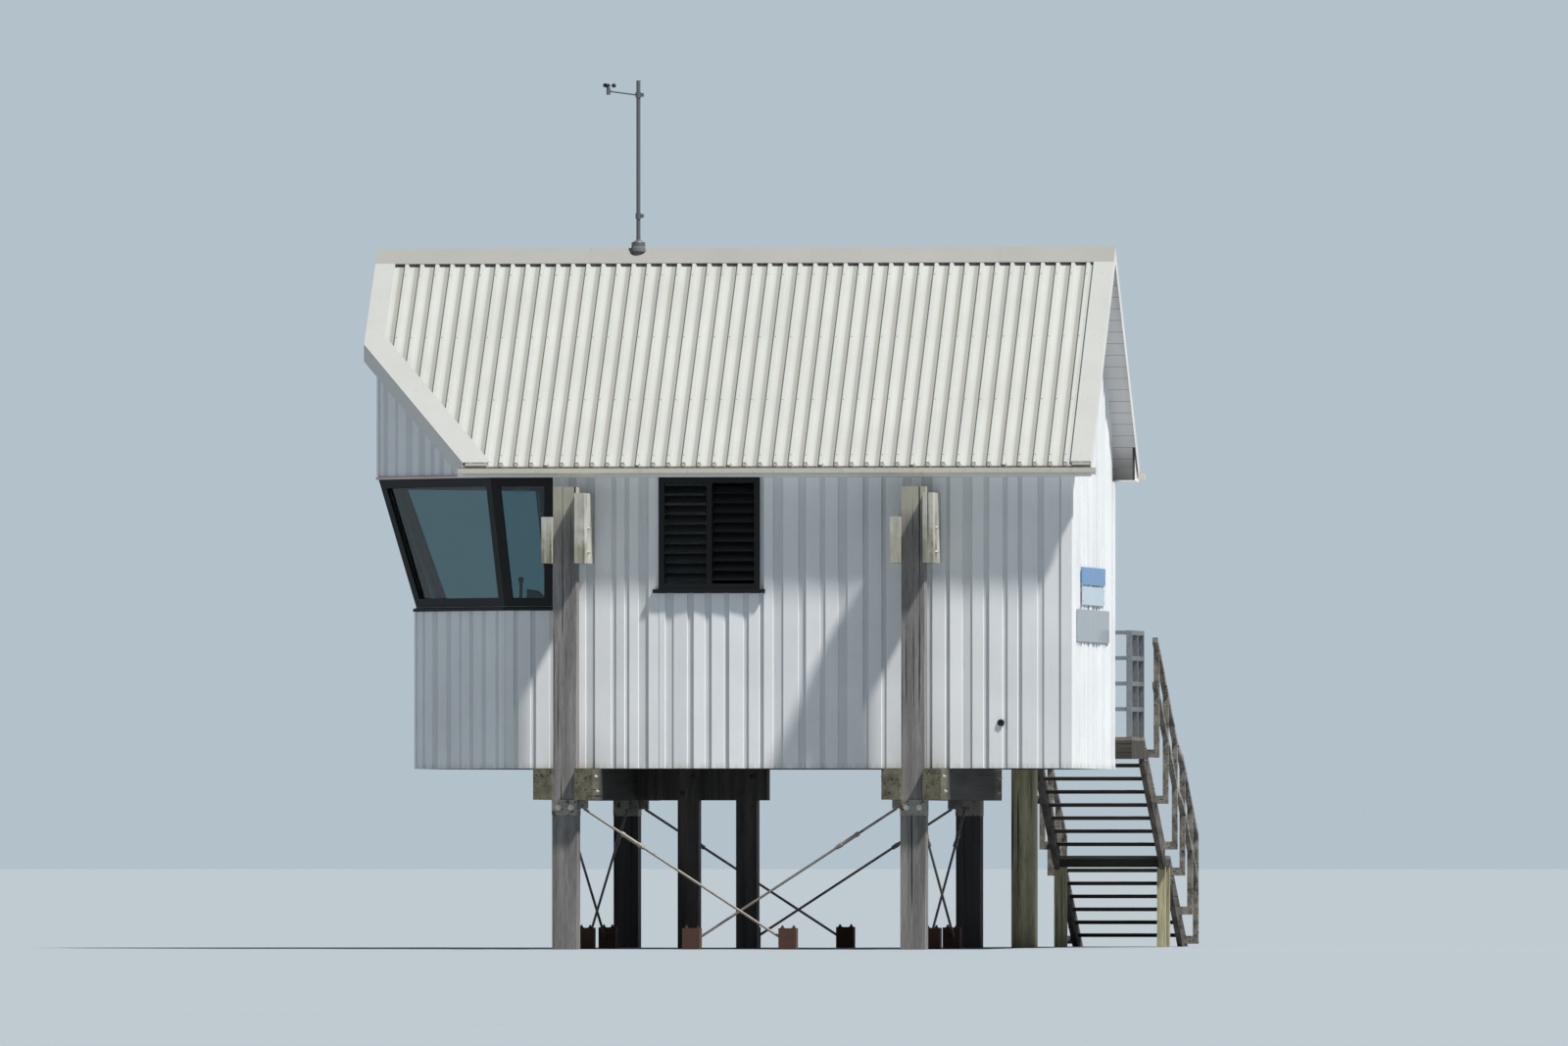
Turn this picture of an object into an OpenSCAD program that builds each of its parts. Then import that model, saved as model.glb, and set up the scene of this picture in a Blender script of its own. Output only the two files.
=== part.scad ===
// A timber watch hut on tall legs: a raked, canted front window, a ribbed sheet roof and a rear stair.
// Lengths are in millimetres. +Z is up, +X runs along the ridge to the rear gable, -Y is the near side.

/* [Body] */
// Width of the building over its side walls
body_w = 4000; // [3800:50:4200]
// From the middle of the legs to the outside of the rear gable wall
rear_reach = 3545; // [3470:25:3670]
// From the middle of the legs to where a side wall turns into the canted front
side_reach = 2640; // [2560:20:2720]
// From the middle of the legs to the outside of the front wall, under its window
prow_reach = 3770; // [3700:10:3840]
// Thickness of the walls
wall_t = 120; // [100:5:150]
// Depth of the floor joists, which stand on the cross beams
joist_h = 320; // [240:10:340]
// Thickness of one floor joist
joist_w = 50; // [40:5:70]
// Number of floor joists
joist_count = 7; // [5:1:9]
// Thickness of the floor boards
deck_t = 38; // [25:1:50]
// Thickness of the ceiling lining
ceiling_t = 18; // [12:1:30]

/* [Prow windows] */
// Height of the window sills above the floor
sill_rise = 1400; // [1200:20:1500]
// Height of the window band
band_h = 1400; // [1200:20:1500]
// How far the head of the front window leans out past its sill
front_lean = 460; // [380:5:490]
// How far the head of a canted window leans out past its sill
cant_lean = 110; // [80:5:130]
// Length of the end window in each side wall, at the sill
end_light_w = 530; // [420:10:560]
// Width of the stiles and rails
band_frame_w = 95; // [70:5:110]
// Width of the mullion in the middle of the front window
band_mullion_w = 70; // [50:5:90]
// Depth of the window frames
band_frame_d = 90; // [70:5:100]
// How far the glass is set back from the face of its frame
glass_set = 40; // [25:5:50]
// Thickness of the glass
glass_t = 10; // [6:1:14]
// Play between the glass and its frame at the sides and the top
glass_play = 2; // [1:1:5]

/* [Side louvre windows] */
// Middle of the louvre window, measured from the middle of the legs
louvre_x = -395; // [-500:10:-200]
// Width of the louvre window
louvre_w = 1105; // [900:10:1200]
// Height of the louvre window, down from the head of the window band
louvre_h = 1215; // [1100:10:1240]
// Width of the louvre window's frame members
louvre_frame_w = 60; // [45:5:70]
// How far the louvre frame stands out of the wall
louvre_proud = 35; // [30:5:45]
// How far the louvre frame reaches into the wall
louvre_depth = 80; // [70:5:90]
// Distance from one louvre blade to the next
blade_pitch = 105; // [95:5:130]
// Width of a louvre blade
blade_w = 100; // [80:5:105]
// Thickness of a louvre blade
blade_t = 6; // [4:1:10]
// Tilt of the louvre blades from level
blade_tilt = 50; // [40:5:60]
// How far the sill stands out of the wall
louvre_sill_proud = 75; // [55:5:90]
// Height of the sill
louvre_sill_h = 42; // [30:2:60]
// How far the sill runs past the frame on each side
louvre_sill_horn = 60; // [40:5:80]

/* [Door] */
// From the outside of the rear gable to the middle of the door
door_from_rear = 515; // [475:5:575]
// Width of the door leaf
door_w = 760; // [700:10:800]
// Height of the door leaf
door_h = 1980; // [1900:10:2100]
// Thickness of the door leaf
door_t = 44; // [35:1:60]
// Width of the door's frame members
door_frame_w = 55; // [45:5:60]
// Gap between the door leaf and its frame
door_gap = 4; // [2:1:6]

/* [Roof] */
// Pitch of both roof slopes in degrees
roof_pitch = 46; // [44:0.5:47]
// Overhang of the roof sheet past the side walls
eave_overhang = 290; // [260:10:320]
// Overhang of the roof past the rear gable
rear_overhang = 255; // [200:5:320]
// Overhang of the roof past the front gable
front_overhang = 90; // [60:5:250]
// Overhang of the cut corners past the canted walls
cant_overhang = 390; // [360:10:420]
// Height of the fascia over the soffit
fascia_h = 130; // [125:1:160]
// Thickness of the fascia boards
fascia_t = 22; // [18:1:30]
// Thickness of the soffit boards
soffit_t = 18; // [12:1:24]
// How far the roof sheet runs out past the fascia
sheet_drip = 50; // [30:5:60]
// Thickness of the boards under the roof sheet
roof_board_t = 22; // [18:1:30]
// Thickness of the ribbed roof sheet
sheet_t = 4; // [3:1:5]
// Play under the roof sheet, and between it and the flashings
sheet_play = 0.2; // [0.1:0.1:0.5]
// Distance from one rib to the next
rib_pitch = 166.7; // [150:0.1:200]
// Height of the ribs over the boards
rib_h = 33; // [25:1:36]
// Width of a rib at its foot
rib_foot_w = 66; // [60:1:75]
// Width of a rib at its top
rib_top_w = 36; // [30:1:40]
// Gap between the two roof sheets at the ridge
ridge_gap = 50; // [20:5:80]
// How far the ridge cap reaches down each slope
cap_reach = 235; // [200:5:280]
// Thickness of the ridge cap and the edge flashings
flashing_t = 5; // [4:1:8]
// Width of the edge flashings on the roof
flashing_w = 215; // [160:5:240]
// How far the edge flashings hang below the underside of the roof boards
flashing_drop = 70; // [50:5:90]

/* [Gutters] */
// Width of the gutters
gutter_w = 100; // [90:5:120]
// Depth of the gutters
gutter_h = 75; // [60:5:80]
// Thickness of the gutter walls
gutter_t = 4; // [3:1:6]
// Clearance between the flashings and the gutters
gutter_clear = 3; // [2:1:8]
// How far each gutter runs past the rear end of the roof
gutter_run_out = 60; // [30:5:80]

/* [Legs] */
// Distance between the legs along the ridge, middle to middle
leg_span_x = 3800; // [3700:50:3900]
// Distance from the outside of a side wall to the near face of its legs
leg_stand_off = 335; // [280:5:400]
// Width of the upper part of a leg
post_w = 250; // [240:10:270]
// Width of the lower part of a leg
foot_w = 270; // [270:5:300]
// Height of the lower part of a leg
foot_h = 1450; // [1350:10:1500]
// Height of the collar where the two parts of a leg meet
collar_h = 170; // [140:5:170]
// Thickness of the collar
collar_t = 14; // [10:1:20]
// Height of a cross beam
beam_h = 340; // [300:10:360]
// Width of a cross beam
beam_w = 200; // [160:10:220]
// How far the cross beams run out past the legs
beam_run_out = 145; // [100:5:200]
// Height of the tops of the legs under the head of the window band
head_drop = 110; // [60:10:160]
// Width of the head timbers that tie the legs to the walls
tie_timber_w = 110; // [90:5:130]
// Height of the front timber of each pair of head timbers
front_timber_h = 500; // [400:20:560]
// Height of the rear timber of each pair of head timbers
rear_timber_h = 760; // [600:20:800]
// Height of the foot of the head timbers under the head of the window band
timber_foot_drop = 938; // [860:2:1000]

/* [Trestle under the floor] */
// How far the trestle stands towards the far side from the middle
trestle_y = 1000; // [800:50:1200]
// Length of the trestle's header
trestle_run = 1435; // [1300:5:1600]
// Width of the trestle's legs and header
trestle_w = 230; // [200:10:250]
// Distance from the trestle's free end to the middle of its first leg
trestle_leg_end = 230; // [180:5:300]
// Distance between the trestle's two legs
trestle_leg_gap = 645; // [500:5:700]

/* [Tie rods] */
// Diameter of the tie rods
rod_d = 28; // [20:1:34]
// Play of a rod in its socket, on each side
rod_play = 1; // [1:0.5:2]
// Height of the rods at the legs, over the top of the lower part
rod_rise = 75; // [70:1:90]
// Sideways distance of each rod from the middle of its leg
rod_offset = 26; // [24:1:34]
// Size of the lugs that hold the rods
lug = 96; // [90:2:110]
// Depth of the rod sockets
socket_depth = 40; // [30:2:50]
// From the middle of the legs to the ground anchors of the side rods
side_anchor = 430; // [380:10:520]
// From the middle of the legs to the ground anchors of the end rods
end_anchor = 800; // [700:10:900]
// Width of a ground anchor
anchor_w = 190; // [160:10:220]
// Height of a ground anchor
anchor_h = 230; // [210:10:260]
// Height of the rods where they meet the anchors
anchor_rod_z = 112; // [100:1:120]

/* [Landing] */
// Clearance between the rear posts and the landing
landing_post_clear = 280; // [255:5:305]
// Depth of the landing, out from the far wall
landing_d = 1200; // [1100:20:1300]
// Thickness of the landing boards
landing_deck_t = 38; // [30:1:50]
// Depth of the landing's frame
landing_frame_h = 200; // [160:10:220]
// Thickness of the landing's frame
landing_frame_t = 60; // [50:5:70]
// Width of the post under the landing
landing_post_w = 260; // [220:10:260]
// Height of the landing's guard
guard_h = 1170; // [1050:10:1250]
// Width of a guard post
guard_post_w = 60; // [50:5:70]
// Width of a guard rail
guard_rail_w = 50; // [40:2:60]
// Number of guard rails
guard_rails = 4; // [3:1:5]

/* [Stair] */
// How far the landing runs past the stair, towards the rear posts
landing_past_stair = 205; // [180:5:230]
// How far the stair and the landing run past the rear gable
stair_past_gable = 205; // [150:5:230]
// Risers from the landing down to the middle landing
upper_risers = 9; // [8:1:10]
// Risers from the middle landing to the ground
lower_risers = 7; // [6:1:8]
// Going of one step
going = 250; // [220:5:280]
// Thickness of a tread
tread_t = 40; // [30:2:50]
// Thickness of a stringer
stringer_t = 60; // [45:5:70]
// Upright depth of a stringer
stringer_h = 300; // [260:10:330]
// Depth of the middle landing
mid_landing_d = 500; // [420:20:900]
// Width of the middle landing's legs
mid_leg_w = 90; // [80:5:120]
// Height of the frame under the middle landing
mid_frame_h = 90; // [70:5:140]
// Height of the handrail over the steps
handrail_h = 1100; // [1000:10:1150]
// Width of a handrail
handrail_w = 60; // [50:5:70]
// Width of a handrail post
handrail_post_w = 60; // [50:5:70]
// Length of the cleats that carry the handrail posts
cleat_run = 90; // [70:5:120]
// Height of a cleat
cleat_h = 90; // [70:5:110]

/* [Wind mast] */
// From the middle of the legs to the mast
mast_x = -1445; // [-1600:5:-1200]
// Height of the mast over the ridge
mast_h = 1830; // [1600:10:2000]
// Diameter of the mast
mast_d = 45; // [35:1:60]
// Diameter of the mast's foot
mast_foot_d = 150; // [120:5:180]
// Height of the mast's foot over the ridge
mast_foot_h = 60; // [40:5:90]
// Reach of the arm from the mast to the wind instrument
arm_reach = 330; // [280:5:400]
// How far the arm is set under the top of the mast
arm_drop = 160; // [120:5:200]
// Rise of the arm over its reach
arm_rise = 45; // [30:1:60]
// Diameter of the arm
arm_d = 18; // [14:1:24]
// Diameter of the wind instrument's housing
housing_d = 44; // [36:1:50]
// Height of the wind instrument's housing
housing_h = 80; // [70:2:100]
// Diameter of the spindle that the cups turn on
spindle_d = 10; // [8:0.5:12]
// Running clearance of the hub on the spindle, on each side
spindle_play = 0.05; // [0.02:0.01:0.09]
// Gap between the hub and the housing
hub_gap = 6; // [5:0.5:10]
// Diameter of the hub
hub_d = 26; // [22:1:32]
// Height of the hub
hub_h = 30; // [24:1:40]
// Distance from the spindle to the middle of each cup
cup_orbit = 60; // [55:1:75]
// Outer diameter of a cup
cup_d = 48; // [40:1:52]
// Wall of a cup
cup_t = 2; // [1.5:0.5:3]
// Diameter of a cup's arm
cup_arm_d = 7; // [6:0.5:9]
// Number of cups
cups = 3; // [3:1:4]

/* [Hidden] */
$fn = 48;

root2 = sqrt(2);
half = body_w / 2;
// Past every solid: the reach of the cutting prisms
beyond = 20000;
// How far a cutter runs through a face
through = 10;

// Heights
wall_foot_z = foot_h + collar_h + beam_h;
joist_top_z = wall_foot_z + joist_h;
floor_z = joist_top_z + deck_t;
sill_z = floor_z + sill_rise;
head_z = sill_z + band_h;
post_top_z = head_z - head_drop;

// Plan of the front: the side, canted and front faces at the sill (0) and at the head (1)
function cant_line(t) = side_reach + half + cant_lean * root2 * t;
function front_line(t) = prow_reach + front_lean * t;
end_light_x = -(side_reach - end_light_w);
door_x = rear_reach - door_from_rear;

// Roof: its underside starts at the top of the fascia
fascia_y = half + eave_overhang - sheet_drip;
function slope_drop(y) = y * tan(roof_pitch);
apex_z = head_z + fascia_h + slope_drop(fascia_y);
function plumb(w) = w / cos(roof_pitch);
cap_y = cap_reach * cos(roof_pitch);
roof_rear_x = rear_reach + rear_overhang;
roof_front_x = front_line(1) + front_overhang;
roof_cant = cant_line(1) + cant_overhang * root2;
roof_eave_y = half + eave_overhang;
flashing_w0 = roof_board_t + rib_h + 2 * sheet_play;
gutter_top_z = head_z + soffit_t + gutter_h;
ridge_top_z = apex_z + plumb(flashing_w0 + flashing_t);

// Legs
leg_x = leg_span_x / 2;
leg_y = half + leg_stand_off + post_w / 2;
beam_reach_y = leg_y + post_w / 2 + beam_run_out;
collar_w = post_w + 2 * collar_t;
rod_z = foot_h + rod_rise;

// Stair
stair_x1 = rear_reach + stair_past_gable;
riser = floor_z / (upper_risers + lower_risers);
landing_x = leg_x + post_w / 2 + landing_post_clear;
stair_x0 = landing_x + landing_past_stair;
landing_y = half + landing_d;
mid_z = lower_risers * riser;
mid_y0 = landing_y + (upper_risers - 1) * going;
mid_y1 = mid_y0 + mid_landing_d;
stair_foot_y = mid_y1 + lower_risers * going;
step_slope = riser / going;
landing_under_z = floor_z - landing_deck_t - landing_frame_h;
mid_under_z = mid_z - landing_deck_t - mid_frame_h;
rail_x1 = stair_x1 + cleat_run + handrail_post_w;

// Mast
mast_top_z = ridge_top_z + mast_h;
arm_z0 = mast_top_z - arm_drop;
rotor_x = mast_x - arm_reach;
housing_z = arm_z0 + arm_rise - housing_h / 2;
hub_z = housing_z + housing_h + hub_gap;

// The whole part stands over the middle of its own box
x_low = -(roof_front_x + flashing_t);
x_high = max(rail_x1, roof_rear_x + gutter_run_out);
y_low = -beam_reach_y;
y_high = stair_foot_y;

module placed() {
    translate([-(x_low + x_high) / 2, -(y_low + y_high) / 2, 0]) children();
}

// Helpers

module slab(x0, x1, y0, y1, z0, z1) {
    translate([x0, y0, z0]) cube([x1 - x0, y1 - y0, z1 - z0]);
}

// A box as long as it is given, centred on x and y
module pillar(x, y, w, z0, z1) {
    slab(x - w / 2, x + w / 2, y - w / 2, y + w / 2, z0, z1);
}

// A prism that stands on a plan, from z0 to z1
module on_plan(points, z0, z1) {
    translate([0, 0, z0]) linear_extrude(z1 - z0) polygon(points);
}

// A prism along X whose section is drawn in Y and Z
module along_x(points, x0, x1) {
    translate([x0, 0, 0]) rotate([90, 0, 90]) linear_extrude(x1 - x0) polygon(points);
}

// The same on the near side and on the far side
module both_sides() {
    children();
    mirror([0, 1, 0]) children();
}

// The same at each of the four legs, seen from the near rear one
module at_legs() {
    for (sx = [0, 1], sy = [0, 1]) mirror([sx, 0, 0]) mirror([0, sy, 0]) children();
}

// A round bar from one point to another
module bar(p, q, r) {
    v = q - p;
    length = norm(v);
    translate(p) rotate([0, acos(v[2] / length), atan2(v[1], v[0])]) cylinder(r = r, h = length);
}

// All that lies under the underside of the roof boards
module under_roof() {
    low = -beyond / 4;
    along_x([[0, apex_z], [-half * 2, apex_z - slope_drop(half * 2)], [-half * 2, low],
        [half * 2, low], [half * 2, apex_z - slope_drop(half * 2)]], -beyond, beyond);
}

// A layer of the near roof slope, from w0 to w1 over the underside of its boards
module slope_layer(w0, w1) {
    run = half * 2;
    along_x([[0, apex_z + plumb(w0)], [0, apex_z + plumb(w1)],
        [-run, apex_z + plumb(w1) - slope_drop(run)],
        [-run, apex_z + plumb(w0) - slope_drop(run)]], -beyond, beyond);
}

// Plan of the near slope: from y0 out to y1, cut at the corner and set in by e from the verges
function slope_plan(y0, y1, e = 0) = [
    [-(roof_front_x - e), -y0],
    [roof_rear_x - e, -y0],
    [roof_rear_x - e, -y1],
    [-(roof_cant - e * root2 - y1), -y1],
    [-(roof_front_x - e), -(roof_cant - e * root2 - roof_front_x + e)]
];

// Front bays

// Corners of the front in plan, from the far end window (0) round to the near one (5)
function half_corner(i, t, d) =
    i == 0 ? [end_light_x, half - d] :
    i == 1 ? [-(cant_line(t) - half) + d * (root2 - 1), half - d] :
    [-front_line(t) + d, cant_line(t) - front_line(t) - d * (root2 - 1)];
function prow_corner(i, t, d) =
    let (p = half_corner(i < 3 ? i : 5 - i, t, d))
    i < 3 ? p : [p[0], -p[1]];
// A point of bay i, a distance s from its first corner and d in from its face
function bay_point(i, t, s, d) =
    let (p = prow_corner(i, t, 0), q = prow_corner(i + 1, t, 0), u = (q - p) / norm(q - p))
    p + u * s + [-u[1], u[0]] * d;
function bay_len(i, t) = norm(prow_corner(i + 1, t, 0) - prow_corner(i, t, 0));
function raised(p, t) = [p[0], p[1], sill_z + band_h * t];

// A closed solid between two rings of four points, low and high
module lofted(low, high) {
    sides = [for (k = [0:3]) [k + 4, (k + 1) % 4 + 4, (k + 1) % 4, k]];
    polyhedron(points = concat(low, high), faces = concat([[0, 1, 2, 3], [7, 6, 5, 4]], sides));
}

// The whole of bay i between its mitred corners
module bay_plate(i, d) {
    function ring(t) = [for (c = [[i, 0], [i + 1, 0], [i + 1, d], [i, d]])
        raised(prow_corner(c[0], t, c[1]), t)];
    lofted(ring(0), ring(1));
}

// The clear light number k of n in bay i, from depth d0 to d1, with a play e at its sides and top
module bay_light(i, k, n, d0, d1, e = 0) {
    t0 = band_frame_w / band_h;
    function light(t) = (bay_len(i, t) - 2 * band_frame_w - (n - 1) * band_mullion_w) / n;
    function start(t) = band_frame_w + k * (light(t) + band_mullion_w) + e;
    function ring(t) = [for (c = [[0, d0], [1, d0], [1, d1], [0, d1]])
        raised(bay_point(i, t, start(t) + c[0] * (light(t) - 2 * e), c[1]), t)];
    lofted(ring(t0), ring(1 - t0 - e / band_h));
}

function bay_lights(i) = i == 2 ? 2 : 1;

module bay_frame(i) {
    difference() {
        bay_plate(i, band_frame_d);
        for (k = [0:bay_lights(i) - 1]) bay_light(i, k, bay_lights(i), -through, band_frame_d + through);
    }
}

// A wall panel of bay i, standing on its outline at level t
function bay_ring(i, t) = [prow_corner(i, t, 0), prow_corner(i + 1, t, 0),
    prow_corner(i + 1, t, wall_t), prow_corner(i, t, wall_t)];

// Legs and floor

module lower_legs() {
    color("gray") placed() at_legs() pillar(leg_x, -leg_y, foot_w, 0, foot_h);
}

module tall_posts() {
    color("dimgray") placed() at_legs() pillar(leg_x, -leg_y, post_w, foot_h, post_top_z);
}

// Ends of the side rod and of the end rod of the near rear leg, and of their mirror images
function side_rod_top(k) = [leg_x - collar_w / 2 - lug + socket_depth, -leg_y + k * rod_offset, rod_z];
function side_rod_foot(k) = [-side_anchor - socket_depth, -leg_y + k * rod_offset, anchor_rod_z];
function end_rod_top(k) = [leg_x + k * rod_offset, -(leg_y - collar_w / 2 - lug + socket_depth), rod_z];
function end_rod_foot(k) = [leg_x + k * rod_offset, end_anchor + socket_depth, anchor_rod_z];

module side_rod(k, r) {
    bar(side_rod_top(k), side_rod_foot(k), r);
}

module end_rod(k, r) {
    bar(end_rod_top(k), end_rod_foot(k), r);
}

module all_side_rods(r) {
    both_sides() {
        side_rod(1, r);
        mirror([1, 0, 0]) side_rod(-1, r);
    }
}

module all_end_rods(r) {
    for (sx = [0, 1]) mirror([sx, 0, 0]) {
        end_rod(1, r);
        mirror([0, 1, 0]) end_rod(-1, r);
    }
}

module side_tie_rods() {
    color("tan") placed() all_side_rods(rod_d / 2);
}

module end_tie_rods() {
    color("peru") placed() all_end_rods(rod_d / 2);
}

module splice_collars() {
    lug_z0 = foot_h + collar_h - lug;
    color("darkgray") placed() difference() {
        at_legs() {
            difference() {
                pillar(leg_x, -leg_y, collar_w, foot_h, foot_h + collar_h);
                pillar(leg_x, -leg_y, post_w, foot_h - through, foot_h + collar_h + through);
            }
            slab(leg_x - collar_w / 2 - lug, leg_x - collar_w / 2, -leg_y - lug / 2, -leg_y + lug / 2,
                lug_z0, foot_h + collar_h);
            slab(leg_x - lug / 2, leg_x + lug / 2, -leg_y + collar_w / 2, -leg_y + collar_w / 2 + lug,
                lug_z0, foot_h + collar_h);
        }
        all_side_rods(rod_d / 2 + rod_play);
        all_end_rods(rod_d / 2 + rod_play);
    }
}

module rod_anchors() {
    color("sienna") placed() difference() {
        at_legs() {
            slab(side_anchor, side_anchor + anchor_w, -leg_y - anchor_w / 2, -leg_y + anchor_w / 2,
                0, anchor_h);
            slab(leg_x - anchor_w / 2, leg_x + anchor_w / 2, -end_anchor - anchor_w, -end_anchor,
                0, anchor_h);
        }
        all_side_rods(rod_d / 2 + rod_play);
        all_end_rods(rod_d / 2 + rod_play);
    }
}

module cross_beams() {
    x0 = leg_x - post_w / 2 - beam_w;
    x1 = leg_x + post_w / 2;
    color("darkkhaki") placed() for (sx = [0, 1], x = [x0, x1])
        mirror([sx, 0, 0]) slab(x, x + beam_w, -beam_reach_y, beam_reach_y,
            wall_foot_z - beam_h, wall_foot_z);
}

module head_timbers() {
    foot_z = head_z - timber_foot_drop;
    out_y = leg_y + post_w / 2 + beam_run_out;
    color("beige") placed() both_sides() for (x = [-leg_x, leg_x]) {
        slab(x - post_w / 2 - tie_timber_w, x - post_w / 2, -out_y, -half, foot_z, foot_z + front_timber_h);
        slab(x + post_w / 2, x + post_w / 2 + tie_timber_w, -out_y, -half, foot_z, foot_z + rear_timber_h);
    }
}

module floor_trestle() {
    x0 = -(leg_x - post_w / 2 - beam_w);
    x1 = x0 + trestle_run;
    under = wall_foot_z - beam_h;
    color("darkslategray") placed() {
        slab(x0, x1, trestle_y - trestle_w / 2, trestle_y + trestle_w / 2, under, wall_foot_z);
        for (k = [0, 1])
            pillar(x1 - trestle_leg_end - k * trestle_leg_gap, trestle_y, trestle_w, 0, under);
    }
}

// Front end of a joist that runs inside the front walls at a distance y from the middle
function joist_x0(y) = max(-(prow_reach - wall_t), -(cant_line(0) - wall_t * root2 - y));

module floor_joists() {
    inner = half - wall_t - joist_w / 2;
    step = 2 * inner / (joist_count - 1);
    color("burlywood") placed() for (k = [0:joist_count - 1]) {
        y = -inner + k * step;
        slab(joist_x0(abs(y) + joist_w / 2), rear_reach - wall_t, y - joist_w / 2, y + joist_w / 2,
            wall_foot_z, joist_top_z);
    }
}

// Plan of the room inside the walls, at level t of the front
function room_plan(t) = concat([for (i = [1:4]) prow_corner(i, t, wall_t)],
    [[rear_reach - wall_t, -(half - wall_t)], [rear_reach - wall_t, half - wall_t]]);

module floor_deck() {
    color("burlywood") placed() on_plan(room_plan(0), joist_top_z, floor_z);
}

module ceiling() {
    color("linen") placed() on_plan(room_plan(1), head_z, head_z + ceiling_t);
}

// Walls

// A side wall: long below the sill, short beside the end window and longest over it
module side_wall() {
    function row(p0, p1) = [p0, [rear_reach, -half], [rear_reach, -(half - wall_t)], p1];
    jamb = [[end_light_x, -half], [end_light_x, -(half - wall_t)]];
    difference() {
        union() {
            on_plan(row(prow_corner(4, 0, 0), prow_corner(4, 0, wall_t)), wall_foot_z, sill_z);
            on_plan(row(jamb[0], jamb[1]), sill_z, head_z);
            intersection() {
                on_plan(row(prow_corner(4, 1, 0), prow_corner(4, 1, wall_t)), head_z, beyond);
                under_roof();
            }
        }
        slab(louvre_x - louvre_w / 2, louvre_x + louvre_w / 2, -half - through,
            -(half - wall_t) + through, head_z - louvre_h, head_z);
    }
}

module near_wall() {
    color("whitesmoke") placed() side_wall();
}

module far_wall() {
    opening = door_w / 2 + door_gap + door_frame_w;
    color("whitesmoke") placed() difference() {
        mirror([0, 1, 0]) side_wall();
        slab(door_x - opening, door_x + opening, half - wall_t - through, half + through,
            floor_z, floor_z + door_h + door_gap + door_frame_w);
    }
}

module rear_gable_wall() {
    color("white") placed() intersection() {
        slab(rear_reach - wall_t, rear_reach, -(half - wall_t), half - wall_t, wall_foot_z, beyond);
        under_roof();
    }
}

module front_lower_wall() {
    color("gainsboro") placed() on_plan(bay_ring(2, 0), wall_foot_z, sill_z);
}

module cant_lower_walls() {
    color("lightgray") placed() for (i = [1, 3]) on_plan(bay_ring(i, 0), wall_foot_z, sill_z);
}

module front_gable_wall() {
    color("gainsboro") placed() intersection() {
        on_plan(bay_ring(2, 1), head_z, beyond);
        under_roof();
    }
}

module cant_upper_walls() {
    color("lightgray") placed() for (i = [1, 3]) intersection() {
        on_plan(bay_ring(i, 1), head_z, beyond);
        under_roof();
    }
}

// Windows and door

module front_window_frame() {
    color("black") placed() bay_frame(2);
}

module cant_window_frames() {
    color("black") placed() for (i = [1, 3]) bay_frame(i);
}

module end_window_frames() {
    color("black") placed() for (i = [0, 4]) bay_frame(i);
}

module prow_glass() {
    color("teal", 0.4) placed() for (i = [0:4], k = [0:bay_lights(i) - 1])
        bay_light(i, k, bay_lights(i), glass_set, glass_set + glass_t, glass_play);
}

// Clear width of each half of the louvre window
louvre_leaf_w = (louvre_w - 3 * louvre_frame_w) / 2;
louvre_foot_z = head_z - louvre_h;

module louvre_frame() {
    x0 = louvre_x - louvre_w / 2;
    x1 = louvre_x + louvre_w / 2;
    difference() {
        slab(x0, x1, -half - louvre_proud, -half + louvre_depth, louvre_foot_z, head_z);
        for (k = [0, 1]) {
            x = x0 + louvre_frame_w + k * (louvre_leaf_w + louvre_frame_w);
            slab(x, x + louvre_leaf_w, -half - louvre_proud - through, -half + louvre_depth + through,
                louvre_foot_z + louvre_frame_w, head_z - louvre_frame_w);
        }
    }
    slab(x0 - louvre_sill_horn, x1 + louvre_sill_horn, -half - louvre_sill_proud, -half,
        louvre_foot_z - louvre_sill_h, louvre_foot_z);
}

module louvre_frames() {
    color("black") placed() both_sides() louvre_frame();
}

module louvre_blades() {
    clear_h = louvre_h - 2 * louvre_frame_w;
    count = floor(clear_h / blade_pitch);
    z0 = louvre_foot_z + louvre_frame_w + (clear_h - (count - 1) * blade_pitch) / 2;
    y = -half + (louvre_depth - louvre_proud) / 2;
    color("darkslategray") placed() both_sides() for (k = [0, 1], n = [0:count - 1])
        translate([louvre_x - louvre_w / 2 + louvre_frame_w + k * (louvre_leaf_w + louvre_frame_w), y,
            z0 + n * blade_pitch])
            rotate([blade_tilt, 0, 0]) translate([0, -blade_w / 2, -blade_t / 2])
                cube([louvre_leaf_w, blade_w, blade_t]);
}

module door_frame() {
    out = door_w / 2 + door_gap + door_frame_w;
    clear = door_w / 2 + door_gap;
    top = floor_z + door_h + door_gap;
    color("dimgray") placed() difference() {
        slab(door_x - out, door_x + out, half - wall_t, half, floor_z, top + door_frame_w);
        slab(door_x - clear, door_x + clear, half - wall_t - through, half + through,
            floor_z - through, top);
    }
}

// The leaf stands on the floor, shut against a stop at the top of its frame
module door_leaf() {
    color("slategray") placed() {
        slab(door_x - door_w / 2, door_x + door_w / 2, half - door_t, half, floor_z, floor_z + door_h);
        slab(door_x - door_w / 2, door_x + door_w / 2, half - door_t, half - door_t / 2,
            floor_z + door_h, floor_z + door_h + door_gap);
    }
}

// Roof

module near_boards() {
    intersection() {
        slope_layer(0, roof_board_t);
        on_plan(slope_plan(0, fascia_y), 0, beyond);
    }
}

module near_roof_boards() {
    color("rosybrown") placed() near_boards();
}

module far_roof_boards() {
    color("rosybrown") placed() mirror([0, 1, 0]) near_boards();
}

// Middle of each rib, counted from the rear verge to the front one
rib_inset = flashing_w / 2;
rib_count = floor((roof_front_x + roof_rear_x - 2 * rib_inset) / rib_pitch) + 1;
function rib_x(k) = roof_rear_x - rib_inset - k * rib_pitch;

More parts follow.
